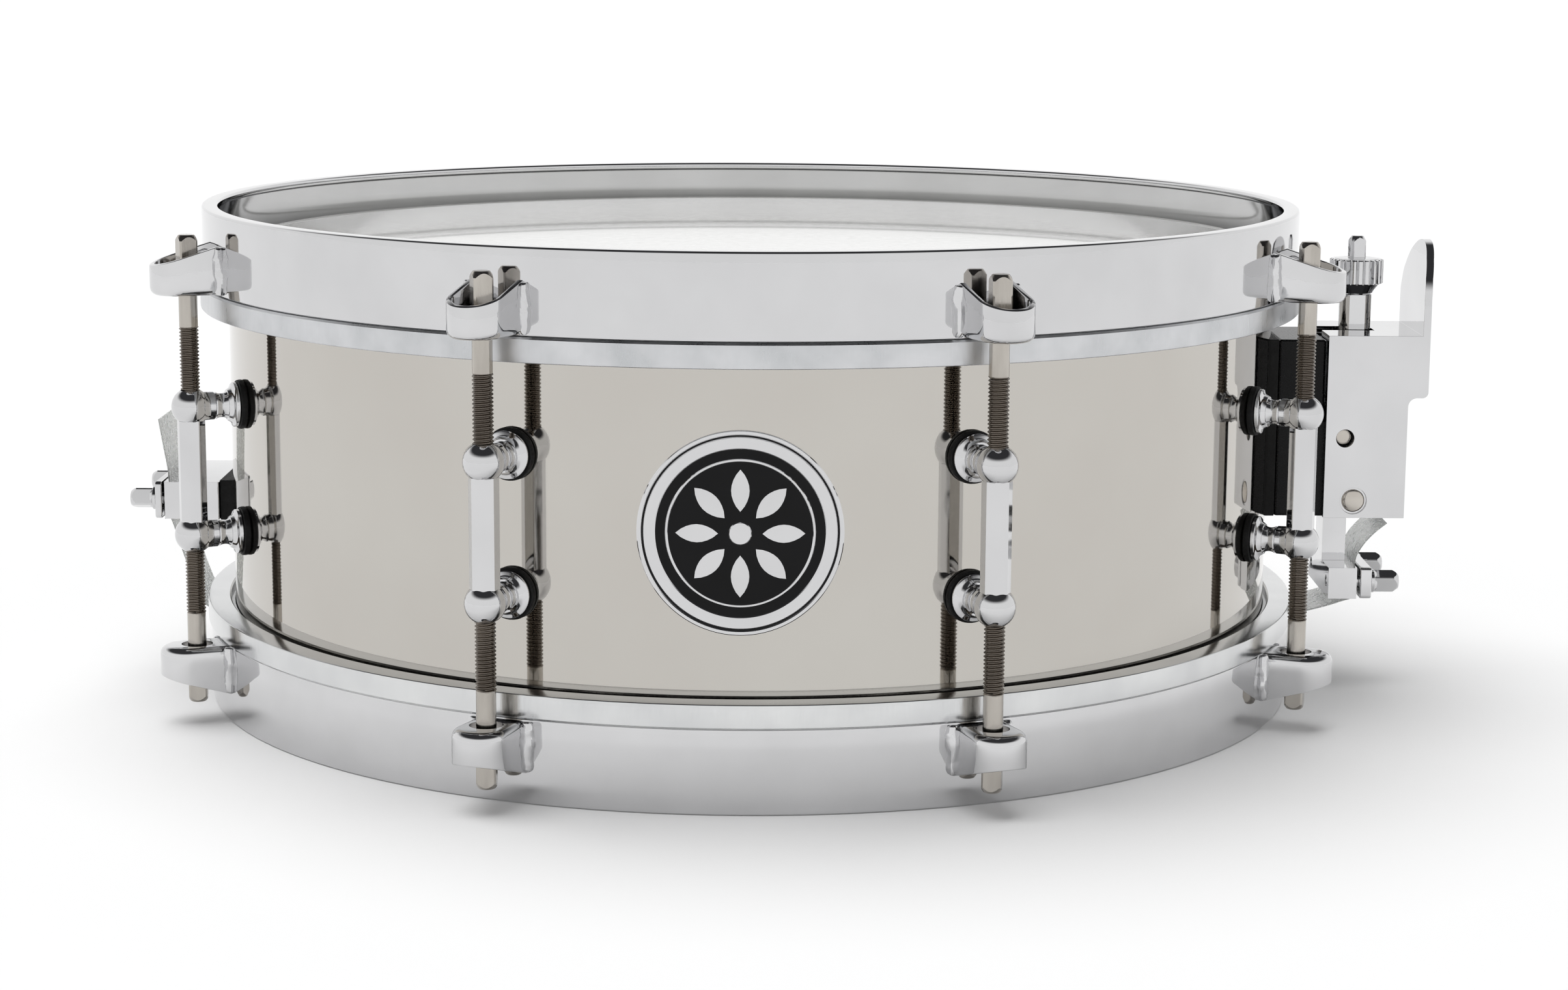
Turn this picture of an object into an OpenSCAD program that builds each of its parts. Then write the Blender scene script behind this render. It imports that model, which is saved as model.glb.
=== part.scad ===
// Snare drum, 14 x 5.5 inches: mirror-finished steel shell, eight ball-post lugs, split counter
// hoops over separate flesh hoops, side-throw strainer at +X and butt at -X.
// Origin on the drum's axis in the plane the drum stands on, the snare-side hoop's outer edge. +Z up.

/* [Shell] */
// Outside diameter of the shell
shell_d = 355.6; // [340:0.1:370]
// Height of the shell, bearing edge to bearing edge
shell_h = 139.7; // [139:0.1:141]
// Thickness of the sheet-metal shell
shell_wall = 1.2; // [1:0.1:1.5]
// Height and depth of the turned-in bearing edge
edge_turn = 3; // [2:0.5:4]
// Depth of the snare bed in the snare-side edge
snare_bed_depth = 1.6; // [1:0.1:2]
// Length of the snare bed along the edge
snare_bed_w = 120; // [90:5:140]
// Diameter of the air vent through its eyelet
vent_d = 9; // [8:0.5:10]

/* [Hoops and heads] */
// Width of the gap between the shell and a flesh hoop
collar_gap = 1.6; // [1.4:0.1:1.8]
// Radial thickness of a flesh hoop
flesh_t = 7.7; // [7:0.1:8]
// Height of a flesh hoop
flesh_h = 7.6; // [7:0.1:8]
// Height of a counter hoop's band
hoop_h = 26.2; // [25:0.1:27]
// Thickness of the band
hoop_t = 2.8; // [2.4:0.1:3]
// Inward reach of the land at the band's outer edge
land_reach = 2.7; // [2:0.1:3]
// Distance from the bearing edge to the counter hoop's outer edge
rim_stand = 13.35; // [13:0.05:13.7]
// Thickness of a drumhead film
film_t = 0.3; // [0.2:0.05:0.4]
// Width of the snare gate slots
gate_w = 42; // [40:1:44]

/* [Lugs and tension rods] */
// Number of lugs
lug_count = 8; // [8]
// Radius of the circle of tension rods
rod_circle_r = 195; // [194.5:0.1:196]
// Distance between the two balls of a lug
ball_pitch = 42; // [40:1:44]
// Diameter of a ball
ball_d = 12.5; // [12:0.1:13]
// Diameter of a rod's plain shank
shank_d = 6; // [5.8:0.1:6.1]
// Outside diameter of a rod's thread
thread_d = 6.3; // [6.2:0.1:6.3]
// Size across flats of a rod's square head
key_sq = 5.9; // [5.8:0.1:6.35]
// Width of a claw cup
ear_w = 17.5; // [17:0.1:18]
// Distance from the rod's axis to the cup's nose
ear_nose = 12; // [11:0.5:12.5]

/* [Strainer] */
// Width of the strainer's base
base_w = 38; // [37:0.5:39]
// Distance of the base's front face from the drum's axis
base_front = 196; // [195.5:0.5:196]
// Width of the lever across its cheeks
lever_w = 44; // [44:0.5:45]
// Drop of the carriage when the lever is thrown off
throw_drop = 6; // [5:0.5:6]
// Angle through which the lever swings
throw_angle = 90; // [80:1:90]
// Up and down travel of the clamp from the adjuster, each way
adjust_travel = 2.5; // [2:0.5:2.5]

/* [Snares] */
// Number of snare strands
strand_count = 20; // [12:1:24]
// Diameter of a coiled strand
strand_d = 1.6; // [1.4:0.1:1.8]
// Distance between strands
strand_pitch = 1.95; // [1.8:0.05:2]
// Distance from the drum's axis to the inner edge of an end plate
plate_x = 150; // [145:1:152]

/* [Hidden] */
$fn = 96;
eps = 0.02;
run_fit = 0.05;
shell_r = shell_d / 2;
half_h = shell_h / 2;
mid_z = half_h + rim_stand;
flesh_r0 = shell_r + collar_gap;
flesh_r1 = flesh_r0 + flesh_t;
hoop_r = flesh_r1 - 1;
hoop_v0 = mid_z - hoop_h;
flesh_v0 = hoop_v0 - flesh_h;
film_r = shell_r + 0.3;
film_groove_v = flesh_v0 + 2.2;
film_groove_r = flesh_r0 + 2.6;

ball_v = ball_pitch / 2;
ball_flat = 4.3;
post_flange_r = 7.25;
post_flange_x = 180;
post_flange_t = 2;
post_neck_r = 4;
gasket_r = 8;
screw_r = 2;
screw_hole_r = 3;
tube_across = 8.5;
tube_sides = 8;
rod_bore_r = thread_d / 2 + run_fit;
tube_bore_r = 3.5;

cup_floor_v = hoop_v0 + 0.6;
cup_floor_t = 2;
cup_wall = 1.8;
cup_hole_r = 5.1;
cup_nose_v = 67.3;
cup_hoop_v = 73.5;
cup_reach = rod_circle_r - hoop_r;
washer_v = cup_floor_v + cup_floor_t;
washer_t = 1.5;
washer_r = 6;
head_v = washer_v + washer_t + eps;
head_top_v = 76.8;
head_len = 14.4;
thread_v = 47;
rod_end_v = 8;

vent_flange_r = 9;
badge_r = 30.5;
badge_t = 0.8;

strand_v = half_h + 0.1 + film_t + strand_d / 2;
plate_len = 14;
plate_w = 42;
plate_t = 0.9;
strap_w = 27;
strap_t = 0.5;

// Strainer, heights measured from its own middle, which sits above the shell's
strainer_rise = 2.2;
base_screw_v = [-14, 24];
base_back = 180;
base_top = 36;
base_bottom = -24.9;
arm_x = 211;
arm_top = 8;
arm_t = 3;
pivot_x = 206.5;
pivot_v = -19;
pivot_r = 2.5;
pivot_head_r = 4.2;
guide_x = 203;
guide_v = 2.6;
guide_r = 2.5;
cheek_t = 2.5;
lever_front = 230.7;
lever_step = 224;
lever_step_v = 16.6;
lever_corner_r = 2;
lever_fillet_r = 3;
lever_notch_top = -17;
lever_top = 37.8;
lever_plate_t = 2.5;
tab_top = 68.8;
tab_w = lever_w;
knob_x = 208.5;
knob_r = 9.15;
notch_w = 12;
cam_h0 = 12;
cam_in = 9;
cam_out = 15.5;
cam_k = throw_drop / throw_angle * 180 / PI;
wing_v = pivot_v + cam_h0 + 0.1;
carriage_x0 = 197.2;
carriage_x1 = 216;
carriage_top = 34.5;
channel_x0 = 198.8;
channel_x1 = 213.7;
channel_w = 14.4;
post_w = 14;
post_head_v0 = 5;
post_head_v1 = 22;
collar_top = 50;
knob_gap = 0.3;
knob_screw_r = 2.5;
clamp_top = -42.6;
clamp_bottom = -53.4;
clamp_x0 = 199.2;
clamp_x1 = 209;
clamp_plate_x0 = 210.1;
clamp_plate_x1 = 214.2;
clamp_w = 42;
clamp_screw_y = 16;
clamp_screw_r = 2;

// Butt
butt_v = -19.2;
butt_h = 12.8;
butt_w = 46;
butt_x0 = 181.5;
butt_x1 = 200.4;
butt_plate_x0 = 201.2;
butt_plate_x1 = 203.6;
butt_screw_end = 212.6;
butt_screw_y = 18;
butt_mount_y = 9;

// ---- Placing helpers -----------------------------------------------------------------------

// The batter end is drawn as the drum's middle looking up, the snare end as its mirror image
module batter_end() {
    translate([0, 0, mid_z]) children();
}

module snare_end() {
    translate([0, 0, mid_z]) mirror([0, 0, 1]) children();
}

// Turn to lug number i, with +X pointing outwards
module at_lug(i) {
    rotate([0, 0, (i + 0.5) * 360 / lug_count]) children();
}

// One copy at every ball of every lug, +X outwards, the shell's axis at x = 0
module at_balls() {
    for (i = [0 : lug_count - 1])
        for (v = [-ball_v, ball_v])
            at_lug(i) translate([0, 0, mid_z + v]) children();
}

module rod_along_x(x0, x1, r) {
    translate([x0, 0, 0]) rotate([0, 90, 0]) cylinder(r = r, h = x1 - x0);
}

module rod_along_y(w, r) {
    rotate([90, 0, 0]) cylinder(r = r, h = w, center = true);
}

module box(x0, x1, w, v0, v1) {
    translate([x0, -w / 2, v0]) cube([x1 - x0, w, v1 - v0]);
}

// A solid ring from an outline of [radius, height] points
module ring(points) {
    rotate_extrude($fn = 240) polygon(points);
}

// A band of even thickness along a path of [x, v] points
function unit(a) = a / norm(a);
function side_at(p, i) =
    let (n = len(p), a = p[max(i - 1, 0)], b = p[min(i + 1, n - 1)], d = unit(b - a)) [-d[1], d[0]];
function band_outline(p, t) = concat(
    [for (i = [0 : len(p) - 1]) p[i] + side_at(p, i) * t / 2],
    [for (i = [len(p) - 1 : -1 : 0]) p[i] - side_at(p, i) * t / 2]
);

module band(p, t, w) {
    rotate([90, 0, 0]) linear_extrude(w, center = true) polygon(band_outline(p, t));
}

// ---- Shell ---------------------------------------------------------------------------------

module shell_blank() {
    v = half_h - edge_turn;
    b = shell_wall * tan(22.5);
    c = shell_wall * sin(45);
    ring([
        [shell_r, -v], [shell_r, v], [shell_r - edge_turn, half_h], [shell_r - edge_turn - c, half_h - c],
        [shell_r - shell_wall, v - b], [shell_r - shell_wall, b - v],
        [shell_r - edge_turn - c, c - half_h], [shell_r - edge_turn, -half_h]
    ]);
}

module snare_bed_cutter() {
    bed_r = (pow(snare_bed_w / 2, 2) + pow(snare_bed_depth, 2)) / (2 * snare_bed_depth);
    translate([0, 0, -half_h + snare_bed_depth - bed_r])
        rotate([0, 90, 0]) cylinder(r = bed_r, h = shell_d * 1.2, center = true, $fn = 360);
}

module shell() {
    color("#c4c2ba") difference() {
        translate([0, 0, mid_z]) difference() {
            shell_blank();
            snare_bed_cutter();
        }
        at_balls() rod_along_x(shell_r - 8, shell_r + 2, screw_r + 0.3);
        at_strainer() for (v = base_screw_v)
            translate([0, 0, v]) rod_along_x(shell_r - 8, shell_r + 2, screw_hole_r);
        for (y = [-butt_mount_y, butt_mount_y])
            translate([0, y, mid_z + butt_v]) rod_along_x(-shell_r - 2, -shell_r + 8, screw_hole_r);
        translate([0, shell_r, mid_z]) rod_along_y(16, vent_d / 2 + 1);
    }
}

module vent_eyelet() {
    color("#b9b9b9") translate([0, 0, mid_z]) rotate([0, 0, 90]) difference() {
        union() {
            rod_along_x(shell_r - 3, shell_r + 1, vent_d / 2 + 0.95);
            rod_along_x(shell_r + eps, shell_r + 1, vent_flange_r);
            rod_along_x(shell_r - 3, shell_r - 1.6, vent_d / 2 + 3);
        }
        rod_along_x(shell_r - 4, shell_r + 2, vent_d / 2);
    }
}

module badge() {
    color("#202020") translate([0, 0, mid_z]) intersection() {
        difference() {
            cylinder(r = shell_r + eps + badge_t, h = 80, center = true, $fn = 240);
            cylinder(r = shell_r + eps, h = 90, center = true, $fn = 240);
        }
        translate([0, -shell_r, 0]) rod_along_y(40, badge_r);
    }
}

// ---- Heads and hoops -----------------------------------------------------------------------

// Film over the bearing edge, down the collar and out into the flesh hoop's groove
module head_film() {
    top = half_h + eps;
    s = shell_r - edge_turn;
    v = half_h - edge_turn;
    ring([
        [0, top], [s, top], [film_r, v], [film_r, film_groove_v],
        [film_groove_r, film_groove_v], [film_groove_r, film_groove_v + film_t],
        [film_r + film_t, film_groove_v + film_t], [film_r + film_t, v + 0.1],
        [s + 0.1, top + film_t], [0, top + film_t]
    ]);
}

module flesh_hoop_ring() {
    bevel = 0.7;
    g0 = film_groove_v - eps;
    g1 = film_groove_v + film_t + eps;
    ring([
        [flesh_r0, flesh_v0 + bevel], [flesh_r0 + bevel, flesh_v0], [flesh_r1 - bevel, flesh_v0],
        [flesh_r1, flesh_v0 + bevel], [flesh_r1, hoop_v0 - bevel], [flesh_r1 - bevel, hoop_v0],
        [flesh_r0, hoop_v0], [flesh_r0, g1], [film_groove_r + eps, g1], [film_groove_r + eps, g0],
        [flesh_r0, g0]
    ]);
}

// Upright band with a land turned in at its outer edge
module hoop_ring() {
    e = 0.8;
    r0 = hoop_r - hoop_t;
    land_v = mid_z - 2.4;
    ring([
        [r0, hoop_v0], [hoop_r - e / 2, hoop_v0], [hoop_r, hoop_v0 + e / 2], [hoop_r, mid_z - e],
        [hoop_r - e, mid_z], [r0 - land_reach, mid_z],
        [r0 - land_reach, land_v + e / 2], [r0 - land_reach + e / 2, land_v], [r0, land_v]
    ]);
}

module batter_head() {
    color("#eeeeea") batter_end() head_film();
}

module snare_side_head() {
    color("#e2e6e8") snare_end() head_film();
}

module batter_flesh_hoop() {
    color("#c9cacb") batter_end() flesh_hoop_ring();
}

module snare_side_flesh_hoop() {
    color("#cfd0d0") snare_end() flesh_hoop_ring();
}

module batter_hoop() {
    color("#d9dadb") batter_end() hoop_ring();
}

module snare_side_hoop() {
    gate_top = hoop_v0 + 5;
    color("#d9dadb") snare_end() difference() {
        hoop_ring();
        translate([0, 0, (hoop_v0 - 1 + gate_top) / 2])
            cube([2 * hoop_r + 10, gate_w, gate_top - hoop_v0 + 1], center = true);
    }
}

// Outline of a claw cup, seen along the rod, shrunk by the wall for its inside
module cup_outline(inset) {
    r = ear_w / 2 - inset;
    translate([ear_nose - ear_w / 2, 0]) circle(r = r);
    translate([-cup_reach - 1, -r]) square([cup_reach + 1 + ear_nose - ear_w / 2, 2 * r]);
}

module claw_cup() {
    slope = atan((cup_hoop_v - cup_nose_v) / (cup_reach + ear_nose));
    difference() {
        union() {
            difference() {
                translate([rod_circle_r, 0, cup_floor_v]) linear_extrude(20) cup_outline(0);
                translate([rod_circle_r, 0, washer_v]) linear_extrude(20) cup_outline(cup_wall);
            }
            for (s = [-1, 1])
                translate([hoop_r + 0.3, s * ear_w / 2, cup_floor_v + 1])
                    cylinder(r = 1.5, h = 20, $fn = 32);
        }
        translate([rod_circle_r + ear_nose, 0, cup_nose_v]) rotate([0, slope, 0])
            translate([-40, -15, 0]) cube([60, 30, 30]);
        translate([rod_circle_r, 0, 0]) cylinder(r = cup_hole_r, h = 90);
        cylinder(r = hoop_r, h = 90, $fn = 240);
    }
}

module cups() {
    for (i = [0 : lug_count - 1]) at_lug(i) claw_cup();
}

module batter_hoop_cups() {
    color("#dcdddd") batter_end() cups();
}

module snare_side_hoop_cups() {
    color("#dcdddd") snare_end() cups();
}

// ---- Tension rods and lugs -----------------------------------------------------------------

// Round-cornered square shaft of the drum-key size, its corners cut by a cylinder
module key_square(h) {
    intersection() {
        translate([-key_sq / 2, -key_sq / 2, 0]) cube([key_sq, key_sq, h]);
        cylinder(r = key_sq * 0.62, h = h);
    }
}

module tension_rod(turn) {
    translate([rod_circle_r, 0, 0]) rotate([0, 0, turn]) {
        translate([0, 0, rod_end_v]) cylinder(r = thread_d / 2, h = thread_v - rod_end_v);
        translate([0, 0, thread_v]) cylinder(r = shank_d / 2, h = head_v - thread_v + 1);
        translate([0, 0, head_v]) cylinder(r1 = 4.9, r2 = 3.6, h = 2.2);
        translate([0, 0, head_top_v - head_len + 0.4]) key_square(head_len - 1.4);
        translate([0, 0, head_top_v - 1]) cylinder(r1 = key_sq / 2, r2 = key_sq / 2 - 1, h = 1);
    }
}

module batter_rod(i) {
    color("#aaa59e") batter_end() at_lug(i - 1) tension_rod(i * 37);
}

module snare_rod(i) {
    color("#aaa59e") snare_end() at_lug(i - 1) tension_rod(i * 53 + 20);
}

module rod_washers() {
    for (i = [0 : lug_count - 1]) at_lug(i) translate([rod_circle_r, 0, washer_v]) difference() {
        union() {
            cylinder(r = washer_r, h = washer_t * 0.6);
            cylinder(r1 = washer_r, r2 = washer_r - 1.2, h = washer_t);
        }
        translate([0, 0, -1]) cylinder(r = shank_d / 2 + 0.1, h = 5);
    }
}

module batter_rod_washers() {
    color("#b5b2ac") batter_end() rod_washers();
}

module snare_rod_washers() {
    color("#b5b2ac") snare_end() rod_washers();
}

// Ball with flats along the rod, on a neck and a round flange
module ball_post() {
    depth = 8;
    difference() {
        union() {
            intersection() {
                translate([rod_circle_r, 0, 0]) sphere(d = ball_d);
                translate([rod_circle_r, 0, 0]) cube([ball_d, ball_d, 2 * ball_flat], center = true);
            }
            rod_along_x(post_flange_x + 1, rod_circle_r - rod_bore_r - 1, post_neck_r);
            rod_along_x(post_flange_x, post_flange_x + post_flange_t, post_flange_r);
        }
        translate([rod_circle_r, 0, -ball_d]) cylinder(r = rod_bore_r, h = 2 * ball_d);
        rod_along_x(post_flange_x - 1, post_flange_x + depth, screw_r);
    }
}

module lug_ball_posts() {
    color("#cfcfce") at_balls() ball_post();
}

module lug_tubes() {
    length = 2 * (ball_v - ball_flat);
    color("#cfcfce") for (i = [0 : lug_count - 1]) at_lug(i) translate([rod_circle_r, 0, mid_z]) difference() {
        rotate([0, 0, 180 / tube_sides])
            cylinder(r = tube_across / 2 / cos(180 / tube_sides), h = length, center = true, $fn = tube_sides);
        cylinder(r = tube_bore_r, h = length + 2, center = true);
    }
}

// Rubber pad between a flat foot and the round shell
module shell_pad_cut() {
    cylinder(r = shell_r + eps, h = 2 * mid_z, $fn = 240);
}

module lug_gaskets() {
    color("#161616") difference() {
        at_balls() difference() {
            rod_along_x(shell_r - 1, post_flange_x, gasket_r);
            rod_along_x(shell_r - 2, post_flange_x + 1, screw_r + 0.3);
        }
        shell_pad_cut();
    }
}

// Screw from the inside of the shell: threaded end at x1, head inside
module inside_screw(x1, r, head_r) {
    seat = shell_r - shell_wall - 1.6;
    rod_along_x(seat - 2.4, x1, r);
    rod_along_x(seat - 2.4, seat, head_r);
}

module inside_washer(r, washer_out_r) {
    seat = shell_r - shell_wall - 1.6;
    difference() {
        rod_along_x(seat + eps, seat + 1.3, washer_out_r);
        rod_along_x(seat - 1, seat + 2, r + 0.2);
    }
}

module lug_screws() {
    color("#b0b0b0") at_balls() inside_screw(post_flange_x + 7, screw_r - eps, 3.8);
}

module lug_screw_washers() {
    color("#9c9c9c") at_balls() inside_washer(screw_r, 4.6);
}

// ---- Strainer (at +X, heights from its own middle) -----------------------------------------

module at_strainer() {
    translate([0, 0, mid_z + strainer_rise]) children();
}

module strainer_base() {
    color("#2a2a2a") at_strainer() difference() {
        union() {
            box(base_back, base_front, base_w, base_bottom, base_top);
            for (s = [-1, 1])
                translate([base_front - 4, s * (base_w - arm_t) / 2 - arm_t / 2, base_bottom])
                    cube([arm_x - base_front + 4, arm_t, arm_top - base_bottom]);
        }
        translate([pivot_x, 0, pivot_v]) rod_along_y(base_w + 4, pivot_r + run_fit);
        translate([guide_x, 0, guide_v]) rod_along_y(base_w + 4, guide_r + eps);
        for (v = base_screw_v)
            translate([0, 0, v]) rod_along_x(base_back - 1, base_back + 11, screw_hole_r - 0.5);
    }
}

module strainer_gasket() {
    color("#161616") difference() {
        at_strainer() difference() {
            box(shell_r - 4, base_back, base_w, base_bottom, base_top);
            for (v = base_screw_v)
                translate([0, 0, v]) rod_along_x(shell_r - 5, base_back + 1, screw_hole_r);
        }
        shell_pad_cut();
    }
}

module strainer_mounting_screws() {
    color("#b0b0b0") at_strainer() for (v = base_screw_v) translate([0, 0, v]) {
        inside_screw(base_back + 10, screw_hole_r - 0.5 - eps, 4.8);
    }
}

module strainer_guide_pin() {
    color("#3c3c3c") at_strainer() translate([guide_x, 0, guide_v]) rod_along_y(base_w, guide_r);
}

// Path of the finger tab's middle, upright and then leaning outwards
tab_mid_x = lever_front - lever_plate_t / 2;
tab_path = [
    [tab_mid_x, lever_top - 2], [tab_mid_x, 50], [tab_mid_x + 0.5, 57],
    [tab_mid_x + 1.5, 63.5], [tab_mid_x + 3, tab_top + 1]
];

// Cheek's outline: narrow below, stepped out above, with a rounded corner and a filleted step
module lever_side_outline() {
    x0 = base_front + 0.4;
    translate([x0, base_bottom]) square([lever_step - x0, lever_top - base_bottom]);
    translate([x0, lever_step_v + lever_corner_r])
        square([lever_front - x0, lever_top - lever_step_v - lever_corner_r]);
    translate([x0, lever_step_v]) square([lever_front - lever_corner_r - x0, lever_corner_r + 1]);
    translate([lever_front - lever_corner_r, lever_step_v + lever_corner_r]) circle(r = lever_corner_r);
    difference() {
        translate([lever_step - 1, lever_step_v - lever_fillet_r])
            square([lever_fillet_r + 1, lever_fillet_r + 1]);
        translate([lever_step + lever_fillet_r, lever_step_v - lever_fillet_r]) circle(r = lever_fillet_r);
    }
}

// Cheeks, top plate with its notch, front plate and the finger tab, in one bent plate
module strainer_lever() {
    x0 = base_front + 0.4;
    inner_w = lever_w - 2 * cheek_t;
    tab_x = lever_front - lever_plate_t;
    color("#d6d6d6") at_strainer() difference() {
        union() {
            difference() {
                rotate([90, 0, 0]) linear_extrude(lever_w, center = true) lever_side_outline();
                box(x0 - 1, lever_step - lever_plate_t, inner_w, base_bottom - 1, lever_top - lever_plate_t);
                box(x0, lever_front - lever_plate_t, inner_w, lever_step_v + lever_plate_t, lever_top - lever_plate_t);
            }
            intersection() {
                band(tab_path, lever_plate_t, tab_w);
                union() {
                    box(tab_x, lever_front + 5, tab_w, lever_top - 2, tab_top - tab_w / 2);
                    translate([0, 0, tab_top - tab_w / 2]) rod_along_x(tab_x, lever_front + 5, tab_w / 2);
                }
            }
        }
        box(x0 - 1, knob_x + notch_w / 2, notch_w, lever_top - lever_plate_t - 1, lever_top + 1);
        box(lever_step - lever_plate_t - 1, lever_step + 1, post_w + 3, base_bottom - 1, lever_notch_top);
        translate([pivot_x, 0, pivot_v]) rod_along_y(lever_w + 2, pivot_r + eps);
        for (s = [-1, 1])
            translate([pivot_x, s * lever_w / 2, pivot_v]) rod_along_y(2, pivot_head_r + 0.4);
        translate([guide_x, 0, guide_v]) rod_along_y(lever_w + 2, guide_r + 0.6);
    }
}

module strainer_pivot_pin() {
    color("#c8c8c8") at_strainer() translate([pivot_x, 0, pivot_v]) {
        rod_along_y(lever_w - 1, pivot_r);
        for (s = [-1, 1])
            translate([0, s * (lever_w / 2 - 0.4), 0]) rod_along_y(1.1, pivot_head_r);
    }
}

// Flat-follower cam: its height above the pin falls evenly as the lever swings
function cam_rim(a) = let (h = cam_h0 - cam_k * a * PI / 180)
    [-h * sin(a) + cam_k * cos(a), h * cos(a) + cam_k * sin(a)];
cam_outline = concat(
    [for (a = [0 : 5 : throw_angle]) cam_rim(a)],
    [[-6, -3], [-4, -5.5], [3, -5.5], [6, -3], [8, 4], [6.5, cam_h0 - 2]]
);

module strainer_cams() {
    color("#8c8c8c") at_strainer() translate([pivot_x, 0, pivot_v]) for (s = [-1, 1])
        translate([0, s * (cam_in + cam_out) / 2, 0]) difference() {
            rotate([90, 0, 0]) linear_extrude(cam_out - cam_in, center = true) polygon(cam_outline);
            rod_along_y(20, pivot_r + eps);
        }
}

module strainer_carriage() {
    slot_w = 2 * guide_r + 0.2;
    color("#a5a5a5") at_strainer() difference() {
        union() {
            box(carriage_x0, carriage_x1, 2 * cam_out, wing_v, wing_v + 20);
            box(carriage_x0, carriage_x1, 20, wing_v, carriage_top);
        }
        box(channel_x0, channel_x1, channel_w, wing_v - 1, post_head_v1 + adjust_travel + 2);
        translate([knob_x, 0, 0]) cylinder(r = knob_screw_r + run_fit, h = carriage_top + 1);
        for (dv = [0, throw_drop])
            translate([guide_x, 0, guide_v + dv]) rod_along_y(40, slot_w / 2);
        box(guide_x - slot_w / 2, guide_x + slot_w / 2, 40, guide_v, guide_v + throw_drop);
    }
}

module adjuster_collar() {
    color("#a39d93") at_strainer() translate([knob_x, 0, carriage_top]) difference() {
        intersection() {
            cylinder(r = 5.5, h = collar_top - carriage_top);
            translate([-6, -4.8, 0]) cube([12, 9.6, 30]);
        }
        translate([0, 0, -1]) cylinder(r = knob_screw_r + run_fit, h = 30);
    }
}

module adjuster_knob() {
    cone_top = 53.7;
    grip_top = 62.1;
    square_top = 69.9;
    bottom = collar_top + knob_gap;
    flutes = 26;
    color("#a39d93") at_strainer() translate([knob_x, 0, 0]) {
        translate([0, 0, 8]) cylinder(r = knob_screw_r, h = bottom - 7);
        translate([0, 0, bottom]) cylinder(r1 = 6, r2 = knob_r - 0.4, h = cone_top - bottom);
        difference() {
            translate([0, 0, cone_top]) cylinder(r = knob_r, h = grip_top - cone_top);
            for (i = [0 : flutes - 1]) rotate([0, 0, i * 360 / flutes])
                translate([knob_r + 0.35, 0, cone_top - 1]) cylinder(r = 0.8, h = 20, $fn = 24);
        }
        translate([0, 0, grip_top - 1]) key_square(square_top - grip_top + 1);
    }
}

// T-shaped slide: nut head in the carriage, shank, and the block the strap is clamped to
module clamp_post() {
    slot_h = throw_drop + 2 * adjust_travel;
    color("#c2c2c0") at_strainer() difference() {
        union() {
            box(channel_x0 + 0.2, channel_x1 - 0.2, post_w, post_head_v0 - 4, post_head_v1);
            box(channel_x0 + 0.2, 207, post_w, clamp_top - 1, post_head_v0);
            box(clamp_x0, clamp_x1, clamp_w, clamp_bottom, clamp_top);
        }
        translate([knob_x, 0, 0]) cylinder(r = knob_screw_r + run_fit, h = 40);
        box(guide_x - guide_r - 0.1, guide_x + guide_r + 0.1, 20,
            guide_v - guide_r - adjust_travel - 0.3, guide_v + guide_r + slot_h - adjust_travel + 0.3);
        box(pivot_x - pivot_r - 0.3, 220, 20,
            pivot_v - pivot_r - adjust_travel - 0.3, pivot_v + pivot_r + slot_h - adjust_travel + 0.3);
        for (y = [-clamp_screw_y, clamp_screw_y])
            translate([0, y, (clamp_top + clamp_bottom) / 2])
                rod_along_x(clamp_x0 - 1, clamp_x1 + 1, clamp_screw_r + eps);
    }
}

module snare_clamp_plate() {
    color("#b9b9b7") at_strainer() difference() {
        box(clamp_plate_x0, clamp_plate_x1, clamp_w, clamp_bottom, clamp_top);
        for (y = [-clamp_screw_y, clamp_screw_y])
            translate([0, y, (clamp_top + clamp_bottom) / 2])
                rod_along_x(clamp_plate_x0 - 1, clamp_plate_x1 + 1, clamp_screw_r + 0.2);
    }
}

// Drum-key screw lying along X, head outwards
module key_screw(x0, x1, head_x) {
    rod_along_x(x0, x1 + 1, clamp_screw_r);
    rod_along_x(x1 + eps, x1 + 1.6, 4);
    translate([x1 + 1, 0, 0]) rotate([0, 90, 0]) intersection() {
        key_square(head_x - x1 - 1);
        cylinder(r = 4, h = head_x);
    }
}

module snare_clamp_screws() {
    color("#b5b0a8") at_strainer() for (y = [-clamp_screw_y, clamp_screw_y])
        translate([0, y, (clamp_top + clamp_bottom) / 2])
            key_screw(clamp_x0 + 0.5, clamp_plate_x1, 224);
}

// ---- Butt (drawn at +X, then turned to -X) -------------------------------------------------

module at_butt() {
    translate([0, 0, mid_z]) mirror([1, 0, 0]) children();
}

module butt_block() {
    color("#c9c9c7") at_butt() difference() {
        box(butt_x0, butt_x1, butt_w, butt_v - butt_h / 2, butt_v + butt_h / 2);
        for (y = [-butt_screw_y, butt_screw_y])
            translate([0, y, butt_v]) rod_along_x(butt_x1 - 12, butt_x1 + 1, clamp_screw_r + eps);
        for (y = [-butt_mount_y, butt_mount_y])
            translate([0, y, butt_v]) rod_along_x(butt_x0 - 1, butt_x0 + 9, screw_hole_r - 0.5);
    }
}

module butt_gasket() {
    color("#161616") difference() {
        at_butt() difference() {
            box(shell_r - 6, butt_x0, butt_w - 2, butt_v - butt_h / 2 - 0.5, butt_v + butt_h / 2 + 0.5);
            for (y = [-butt_mount_y, butt_mount_y])
                translate([0, y, butt_v]) rod_along_x(shell_r - 7, butt_x0 + 1, screw_hole_r);
        }
        shell_pad_cut();
    }
}

module butt_mounting_screws() {
    color("#b0b0b0") at_butt() for (y = [-butt_mount_y, butt_mount_y])
        translate([0, y, butt_v]) inside_screw(butt_x0 + 8, screw_hole_r - 0.5 - eps, 4.8);
}

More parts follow.
